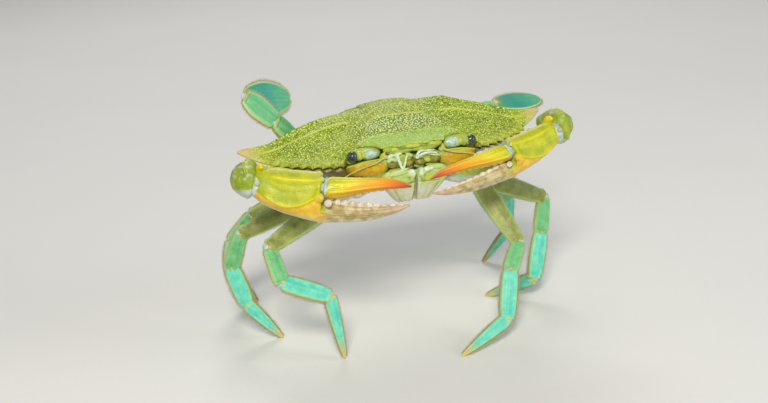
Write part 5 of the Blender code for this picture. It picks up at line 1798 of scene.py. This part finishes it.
def mouth_fringe(end, finish):
    """Short bristles on the inner edge of a mouth plate."""
    rng, side = np.random.default_rng(300), SIDES[end]
    levels = rng.uniform(-18.2, -9, 380)
    x, _, front, _ = profile_at(MOUTH_LEVELS[::-1], levels)
    roots = stacked(side * x, front + 0.1 * rng.random(len(x)), levels)
    ways = (-side * 0.25, -1, 0) + rng.normal(0, 0.2, (len(x), 3))
    hair = bristles(roots, ways, rng.uniform(0.4, 0.8, len(x)), HAIR, (0, 0, -0.1))
    uv = stacked(0.1 + x / 40 + (0.5 if side > 0 else 0), (-levels - 6) / 14)
    add_piece(f"mouth_fringe_{end}", hair, finish, [f"maxilliped_{end}"], patches(hair, uv))


def cheek_fringe(end, finish):
    """A soft row of bristles under the toothed edge of the shell."""
    rng, side, count = np.random.default_rng(310), SIDES[end], 2400
    number = rng.uniform(9, 24, count)
    inside = MARK[: len(MARK) // 2 + 1]
    x, y, z = (np.interp(number, inside, EDGE[: len(inside), k]) for k in range(3))
    pull = 0.955 - 0.05 * rng.random(count)
    behind = y - CREST[1]
    roots = stacked(side * x * pull, CREST[1] + behind * pull, z - 1.5 - 9 * (0.97 - pull))
    out = unit(stacked(side * x * 0.5, behind, 0))
    ways = out * 0.8 + (0, 0, -0.6) + rng.normal(0, 0.2, (count, 3))
    hair = bristles(roots, ways, rng.uniform(0.6, 1.3, count), HAIR, (0, 0, -0.2))
    uv = stacked(0.03 + 0.94 * (number - 9) / 15, 0.1 + (0.955 - pull) * 8 + (0.45 if side > 0 else 0))
    add_piece(f"shell_fringe_{end}", hair, finish, ["carapace"], patches(hair, uv))


def fringe_finish(c):
    """Buff bristles, paler towards their tips."""
    f = Finish("bristles", roughness=0.55)
    colour = f.layers(f.mix(f.mask("pick"), c.bristle_buff, c.bristle_brown), ("tip", 0.6, c.bristle_pale))
    return f.done(colour, f.grain(3000), 0.00002)


# ---- stage ----
AIM = (-11.56, -24.55, -16.34)  # the middle of the view
LIT = (0, 0, 0.05)  # where the lights point, in metres
# Lights: place and width in metres, power in watts and colour.
LIGHTS = {
    "key_light": ((-0.35, -0.95, 0.8), 0.35, 12, (1, 0.96, 0.88)),
    "fill_light": ((0.85, -0.6, 0.45), 0.6, 3, (0.9, 0.96, 1)),
    "back_light": ((0.15, 0.85, 0.85), 0.5, 3.5, (1, 1, 1)),
}


def make_floor(c):
    """A pale sweep: a flat floor that curls up far behind the crab."""
    half, depth, wall, bend = 4, 3.2, 3, 1.2
    angles = np.linspace(0.05, math.pi / 2, 16)
    curl = [(depth - bend + bend * math.sin(a), bend - bend * math.cos(a)) for a in angles]
    line = [(-3, 0), (depth - bend, 0), *curl, (depth, wall)]
    points = [(x, y, z) for y, z in line for x in (-half, half)]
    faces = [(2 * k, 2 * k + 1, 2 * k + 3, 2 * k + 2) for k in range(len(line) - 1)]
    f = Finish("floor_paper", roughness=0.7, specular=0.3)
    material = f.done(f.clouds(3, c.floor_pale, c.floor_shade, 0.3), f.grain(700), 0.00005)
    new_object("floor", points, faces, material)


def make_lights(s):
    for name, (place, width, power, colour) in LIGHTS.items():
        data = bpy.data.lights.new(name, "AREA")
        data.shape = "DISK"
        data.size, data.energy, data.color = width, power * s.light, colour
        light = bpy.data.objects.new(name, data)
        light.location = place
        light.rotation_euler = (Vector(LIT) - light.location).to_track_quat("-Z", "Y").to_euler()
        bpy.context.scene.collection.objects.link(light)
    world = bpy.data.worlds.new("studio")
    world.use_nodes = True
    background = world.node_tree.nodes["Background"].inputs
    background["Color"].default_value = (0.95, 0.97, 1, 1)
    background["Strength"].default_value = 0.25 * s.light
    bpy.context.scene.world = world
    bpy.context.scene.view_settings.view_transform = "Standard"


def make_camera(s):
    a, e, r = (math.radians(v) for v in (s.azimuth, s.elevation, s.roll))
    back = Vector((math.sin(a) * math.cos(e), -math.cos(a) * math.cos(e), math.sin(e)))
    right = Vector((math.cos(a), math.sin(a), 0))
    up = back.cross(right)
    axes = (math.cos(r) * right - math.sin(r) * up, math.sin(r) * right + math.cos(r) * up, back)
    data = bpy.data.cameras.new("camera")
    data.lens = s.lens
    data.sensor_width = 36
    data.clip_start = 0.01
    camera = bpy.data.objects.new("camera", data)
    place = Vector(ORIGIN) + 0.001 * Vector(AIM) + back * s.distance
    camera.matrix_world = Matrix.Translation(place) @ Matrix(axes).transposed().to_4x4()
    bpy.context.scene.collection.objects.link(camera)
    bpy.context.scene.camera = camera


# ---- the sizes and colours that a user may change ----
# Colours as linear red, green and blue, each with what it is for.
COLOURS = {
    "shell_green": ("Olive ground of the shell", 0.13, 0.22, 0.006),
    "shell_yellow": ("Yellow-green clouds of the shell", 0.27, 0.35, 0.01),
    "shell_light": ("Light flecks of the shell", 0.42, 0.52, 0.045),
    "shell_dark": ("Grey-green ground in front of the mid line", 0.09, 0.16, 0.03),
    "shell_mint": ("Smooth green of the front", 0.31, 0.54, 0.1),
    "shell_freckle": ("Dark freckles", 0.06, 0.11, 0.005),
    "granule_pale": ("Pale granules", 0.76, 0.84, 0.19),
    "line_yellow": ("Raised granular lines and teeth", 0.62, 0.66, 0.08),
    "spine_pink": ("Tips of the long side spines", 0.66, 0.5, 0.24),
    # Partly painted shade: this brown darkens the shell's underside, the face's outer ends and the thorax
    # walls under the overhang.
    "under_brown": ("Brown under the toothed edge", 0.26, 0.15, 0.015),
    "under_pale": ("Pale skin under the edge", 0.5, 0.4, 0.1),
    "granule_white": ("Granules of the middle patch", 0.8, 0.88, 0.38),
    "palm_green": ("Yellow-green of the palm", 0.33, 0.4, 0.004),
    "palm_yellow": ("Lighter clouds of the palm", 0.54, 0.55, 0.005),
    "palm_fleck": ("Green flecks of the palm", 0.24, 0.34, 0.006),
    "facet_orange": ("Lower facet of the palm", 0.78, 0.38, 0.02),
    "facet_yellow": ("Lower facet of the palm", 0.88, 0.64, 0.06),
    "finger_white": ("Fixed finger", 0.62, 0.55, 0.36),
    "finger_brown": ("Clouds of the fixed finger", 0.36, 0.24, 0.12),
    "finger_yellow": ("Flank of the movable finger", 0.74, 0.42, 0.003),
    "finger_orange": ("Middle of the movable finger", 0.8, 0.33, 0.003),
    "finger_red": ("Outer part of the movable finger", 0.7, 0.17, 0.03),
    "tip_red": ("Tips of the fingers", 0.62, 0.22, 0.15),
    "tip_pale": ("End of the fixed finger", 0.62, 0.4, 0.3),
    # Painted shade under the finger tips.
    "tip_dark": ("Under the tips", 0.36, 0.05, 0.02),
    "inner_white": ("Inner side of the hand", 0.7, 0.72, 0.62),
    "inner_blue": ("Blue clouds of the inner side", 0.42, 0.58, 0.66),
    "ridge_yellow": ("Raised ridges and tubercles", 0.76, 0.66, 0.012),
    "membrane_white": ("Soft skin at the joints", 0.62, 0.68, 0.58),
    "membrane_blue": ("Bluish folds of soft skin", 0.3, 0.44, 0.46),
    "tooth_white": ("Teeth of the claws", 0.8, 0.77, 0.66),
    "tooth_cream": ("Shade of the teeth", 0.56, 0.45, 0.3),
    "arm_green": ("Arms and wrists", 0.2, 0.32, 0.012),
    "arm_cloud": ("Clouds of arms and wrists", 0.38, 0.44, 0.035),
    "pale_edge": ("Ridges of arms and wrists", 0.56, 0.6, 0.07),
    "spot_orange": ("Marks at the joints", 0.8, 0.3, 0.02),
    "leg_olive": ("Hips and meri", 0.2, 0.24, 0.045),
    "leg_olive_pale": ("Clouds of the meri", 0.36, 0.38, 0.1),
    "leg_green": ("Carpi", 0.1, 0.4, 0.15),
    "leg_green_pale": ("Clouds of the carpi", 0.2, 0.55, 0.24),
    "leg_turquoise": ("Middle of the outer pieces", 0.07, 0.56, 0.44),
    "leg_aqua": ("Clouds of the outer pieces", 0.2, 0.72, 0.52),
    "leg_edge": ("Edges of the outer pieces", 0.5, 0.68, 0.26),
    "toe_yellow": ("Tips of the toes", 0.64, 0.5, 0.16),
    "paddle_green": ("Root of the paddles", 0.08, 0.36, 0.15),
    "paddle_teal": ("Middle of the paddles", 0.03, 0.32, 0.25),
    "paddle_mint": ("End of the paddles", 0.13, 0.5, 0.24),
    "paddle_vein": ("Veins of the paddles", 0.04, 0.28, 0.26),
    "rim_pale": ("Rims of the paddles", 0.62, 0.74, 0.34),
    "stalk_green": ("Eyestalks", 0.26, 0.42, 0.08),
    "stalk_blue": ("Marbling of the eyestalks", 0.3, 0.48, 0.46),
    "stalk_white": ("Marbling of the eyestalks", 0.56, 0.72, 0.62),
    "stalk_dark": ("Specks of the eyestalks", 0.05, 0.12, 0.12),
    "eye_black": ("Corneas", 0.012, 0.018, 0.015),
    # Painted reflection: the teal sheen of the corneas, laid on as clouds.
    "eye_green": ("Clouds of the corneas", 0.06, 0.09, 0.06),
    "eye_speck": ("Specks of the corneas", 0.16, 0.2, 0.15),
    "feeler_cream": ("Antennae", 0.56, 0.56, 0.2),
    "feeler_white": ("Antennules", 0.8, 0.88, 0.66),
    "feeler_grey": ("Shade of the antennules", 0.46, 0.62, 0.38),
    "face_green": ("Forehead", 0.24, 0.38, 0.06),
    "face_yellow": ("Clouds of the forehead", 0.44, 0.5, 0.1),
    "face_olive": ("Plate over the mouth", 0.34, 0.31, 0.02),
    "face_dark": ("Hollows of the face", 0.08, 0.09, 0.02),
    "cheek_orange": ("Swelling under the eyes", 0.52, 0.23, 0.002),
    "cheek_yellow": ("Swelling under the eyes", 0.56, 0.42, 0.004),
    "mouth_lime": ("Mouth plates", 0.5, 0.56, 0.05),
    "mouth_mint": ("Clouds of the mouth plates", 0.44, 0.62, 0.2),
    "mouth_white": ("Edges and palps of the mouth", 0.78, 0.84, 0.66),
    "belly_white": ("Breastplate and apron", 0.7, 0.7, 0.6),
    "belly_cream": ("Clouds of the breastplate", 0.62, 0.56, 0.38),
    "belly_seam": ("Seams of the underside", 0.3, 0.28, 0.16),
    "bristle_buff": ("Fringes", 0.66, 0.6, 0.34),
    "bristle_brown": ("Darker bristles", 0.46, 0.38, 0.18),
    "bristle_pale": ("Tips of the bristles", 0.78, 0.74, 0.52),
    "floor_pale": ("Pale floor", 0.84, 0.83, 0.8),
    "floor_shade": ("Clouds of the floor", 0.8, 0.79, 0.77),
}


def tint(key, use, *value):
    name, limits = key.replace("_", " ").capitalize(), {"size": 3, "min": 0, "max": 1}
    return FloatVectorProperty(name=name, description=use, subtype="COLOR", default=value, **limits)


class CrabColours(bpy.types.PropertyGroup):
    """Colours of the shell, limbs and stage."""

    __annotations__ = {key: tint(key, *colour) for key, colour in COLOURS.items()}


def number(name, description, default, **limits):
    return FloatProperty(name=name, description=description, default=default, **limits)


class CrabSizes(bpy.types.PropertyGroup):
    """Sizes of the fine relief, and the stage's camera and light."""

    granule_gap: number("Granule gap", "Millimetres between granules", 0.92, min=0.5)
    distance: number("Camera distance", "From the aim point", 0.43, unit="LENGTH")
    lens: number("Lens", "Focal length in millimetres", 60.47)
    azimuth: number("Azimuth", "Degrees the camera stands round from the front", -16)
    elevation: number("Elevation", "Degrees the camera looks down", 17.5)
    roll: number("Roll", "Degrees the camera is turned about its view", 4)
    light: number("Light", "Share of the studio light", 1, min=0)


# ---- operators ----
class CrabStep:
    """An operator that builds one piece, or a group of like pieces."""

    bl_options = {"REGISTER", "UNDO"}

    def execute(self, context):
        self.build(context.scene.crab_sizes, context.scene.crab_colours)
        return {"FINISHED"}


class CRAB_OT_stage(CrabStep, bpy.types.Operator):
    """Sets up the floor, the studio light and the camera."""

    bl_idname = "crab.stage"
    bl_label = "Stage"

    def build(self, s, c):
        make_floor(c)
        make_lights(s)
        make_camera(s)


class CRAB_OT_carapace(CrabStep, bpy.types.Operator):
    """Builds the upper shell with its regions, lines, teeth and spines."""

    bl_idname = "crab.carapace"
    bl_label = "Carapace"

    def build(self, s, c):
        add_piece("carapace_shell", carapace_form(), shell_finish(c), ["carapace"])


class CRAB_OT_granules(CrabStep, bpy.types.Operator):
    """Strews the upper shell with granules, larger and whiter in front of the mid line."""

    bl_idname = "crab.granules"
    bl_label = "Granules"

    def build(self, s, c):
        field, finish = granule_field(s.granule_gap, 7), granule_finish(c)
        x = field[:, 0]
        zones = {"right": x < -14, "middle": np.abs(x) <= 14, "left": x > 14}
        for name, inside in zones.items():
            form, uv = granule_form(*field[inside].T)
            add_piece(f"shell_granules_{name}", form, finish, ["carapace"], uv)


class CRAB_OT_hands(CrabStep, bpy.types.Operator):
    """Builds both hands with their fixed fingers, and both movable fingers."""

    bl_idname = "crab.hands"
    bl_label = "Hands and fingers"

    def build(self, s, c):
        hand = ("claw_hand", hand_piece, hand_finish(c), "hand", "hand")
        finger = ("claw_finger", finger_piece, finger_finish(c), "finger", "finger")
        add_pairs(hand, finger)


class CRAB_OT_arms(CrabStep, bpy.types.Operator):
    """Builds both arms and the wrists that carry the hands."""

    bl_idname = "crab.arms"
    bl_label = "Arms and wrists"

    def build(self, s, c):
        finish = limb_finish("arm_skin", c, c.arm_green, c.arm_cloud, c.pale_edge)
        arm = ("claw_arm", arm_piece, finish, "arm", "arm")
        wrist = ("claw_wrist", wrist_piece, finish, "wrist", "arm")
        add_pairs(arm, wrist)


class CRAB_OT_legs(CrabStep, bpy.types.Operator):
    """Builds the six walking legs, five pieces each, standing on their toes."""

    bl_idname = "crab.legs"
    bl_label = "Walking legs"

    def build(self, s, c):
        olive = limb_finish("leg_olive_skin", c, c.leg_olive, c.leg_olive_pale, c.leg_edge)
        green = limb_finish("leg_green_skin", c, c.leg_green, c.leg_green_pale, c.leg_edge)
        toe = ("tip", 1, c.toe_yellow)
        blue = limb_finish("leg_blue_skin", c, c.leg_turquoise, c.leg_aqua, c.leg_edge, toe)
        finishes = {"hip": olive, "merus": olive, "carpus": green, "propodus": blue, "dactyl": blue}
        for name in WALKING_LEGS:
            for part, form in walking_leg(name).items():
                add_piece(f"walking_{name}_{part}", form, finishes[part], [f"{name}_{part}"])


class CRAB_OT_swimmers(CrabStep, bpy.types.Operator):
    """Builds the two swimming legs with their paddles."""

    bl_idname = "crab.swimmers"
    bl_label = "Swimming legs"

    def build(self, s, c):
        green = limb_finish("swimmer_green_skin", c, c.leg_green, c.leg_green_pale, c.leg_edge)
        mint = limb_finish("swimmer_mint_skin", c, c.paddle_mint, c.leg_green_pale, c.rim_pale)
        finishes = {"merus": green, "carpus": green, "propodus": mint, "paddle": paddle_finish(c)}
        for name in SWIMMING_LEGS:
            for part, form in swimming_leg(name).items():
                add_piece(f"swimming_{name}_{part}", form, finishes[part], [f"{name}_{part}"])


class CRAB_OT_eyes(CrabStep, bpy.types.Operator):
    """Builds the eyestalks and corneas."""

    bl_idname = "crab.eyes"
    bl_label = "Eyes"

    def build(self, s, c):
        stalk = ("stalk", stalk_form, stalk_finish(c), "eyestalk", "eyestalk")
        cornea = ("cornea", eye_form, eye_finish(c), "eye", "cornea")
        add_pairs(stalk, cornea)


class CRAB_OT_feelers(CrabStep, bpy.types.Operator):
    """Builds the antennae and antennules."""

    bl_idname = "crab.feelers"
    bl_label = "Feelers"

    def build(self, s, c):
        yellow = feeler_finish("antenna_skin", c, c.feeler_cream, c.face_yellow)
        white = feeler_finish("antennule_skin", c, c.feeler_white, c.feeler_grey)
        long = ("feeler_long", antenna_form, yellow, "antenna", "feeler")
        short = ("feeler_short", antennule_form, white, "antennule", "feeler")
        add_pairs(long, short)


class CRAB_OT_face(CrabStep, bpy.types.Operator):
    """Builds the face with its lobes and the two outer mouth plates."""

    bl_idname = "crab.face"
    bl_label = "Face and mouth"

    def build(self, s, c):
        form = joined([face_skin(), face_lobes(1), face_lobes(-1)])
        add_piece("face_front", form, face_finish(c), ["face"])
        add_pairs(("mouth_plate", mouth_form, mouth_finish(c), "maxilliped", "mouth"))


class CRAB_OT_belly(CrabStep, bpy.types.Operator):
    """Builds the thorax with its breastplate, and the folded apron."""

    bl_idname = "crab.belly"
    bl_label = "Thorax and apron"

    def build(self, s, c):
        finish = belly_finish(c)
        add_piece("thorax_skin", thorax_form(), finish, ["thorax"])
        add_piece("apron_skin", apron_form(), finish, ["apron"])


class CRAB_OT_fringes(CrabStep, bpy.types.Operator):
    """Grows the fringes of the legs, paddles, mouth and shell edge."""

    bl_idname = "crab.fringes"
    bl_label = "Fringes"

    def build(self, s, c):
        finish = fringe_finish(c)
        for tile, end in enumerate(SIDES):
            made = {}
            for k, name in enumerate(name for name in WALKING_LEGS if end in name):
                hairs, seed = (LEG_HAIRS, LEG_SIDES, k, (0.08, 0.94)), 100 + 10 * k
                made |= limb_fringes(name, walking_leg(name), *hairs, seed)
            fringe_piece(f"leg_fringe_{end}", made, finish)
            name = f"swimmer_{end}"
            hairs = (SWIMMER_HAIRS, SWIMMER_SIDES, 4 + tile, (0.05, 0.99))
            made = limb_fringes(name, swimming_leg(name), *hairs, 200)
            fringe_piece(f"swimmer_fringe_{end}", made, finish)
            mouth_fringe(end, finish)
            cheek_fringe(end, finish)


STEPS = [
    CRAB_OT_stage, CRAB_OT_carapace, CRAB_OT_granules, CRAB_OT_hands, CRAB_OT_arms, CRAB_OT_legs,
    CRAB_OT_swimmers, CRAB_OT_eyes, CRAB_OT_feelers, CRAB_OT_face, CRAB_OT_belly, CRAB_OT_fringes,
]


class CRAB_PT_panel(bpy.types.Panel):
    """Lists the steps that build the crab."""

    bl_idname = "CRAB_PT_panel"
    bl_label = "Blue Swimming Crab"
    bl_space_type = "VIEW_3D"
    bl_region_type = "UI"
    bl_category = "Crab"

    def draw(self, context):
        column = self.layout.column()
        for step in STEPS:
            column.operator(step.bl_idname)
        for group in (context.scene.crab_sizes, context.scene.crab_colours):
            for name in group.__annotations__:
                column.prop(group, name)


CLASSES = [CrabColours, CrabSizes, *STEPS, CRAB_PT_panel]


def register():
    for each in CLASSES:
        bpy.utils.register_class(each)
    bpy.types.Scene.crab_sizes = PointerProperty(type=CrabSizes)
    bpy.types.Scene.crab_colours = PointerProperty(type=CrabColours)


def unregister():
    del bpy.types.Scene.crab_colours
    del bpy.types.Scene.crab_sizes
    for each in reversed(CLASSES):
        bpy.utils.unregister_class(each)


def write_sizes():
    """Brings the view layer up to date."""
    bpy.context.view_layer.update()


def main():
    register()
    for step in STEPS:
        area, name = step.bl_idname.split(".")
        getattr(getattr(bpy.ops, area), name)()
    write_sizes()


if __name__ == "__main__":
    main()
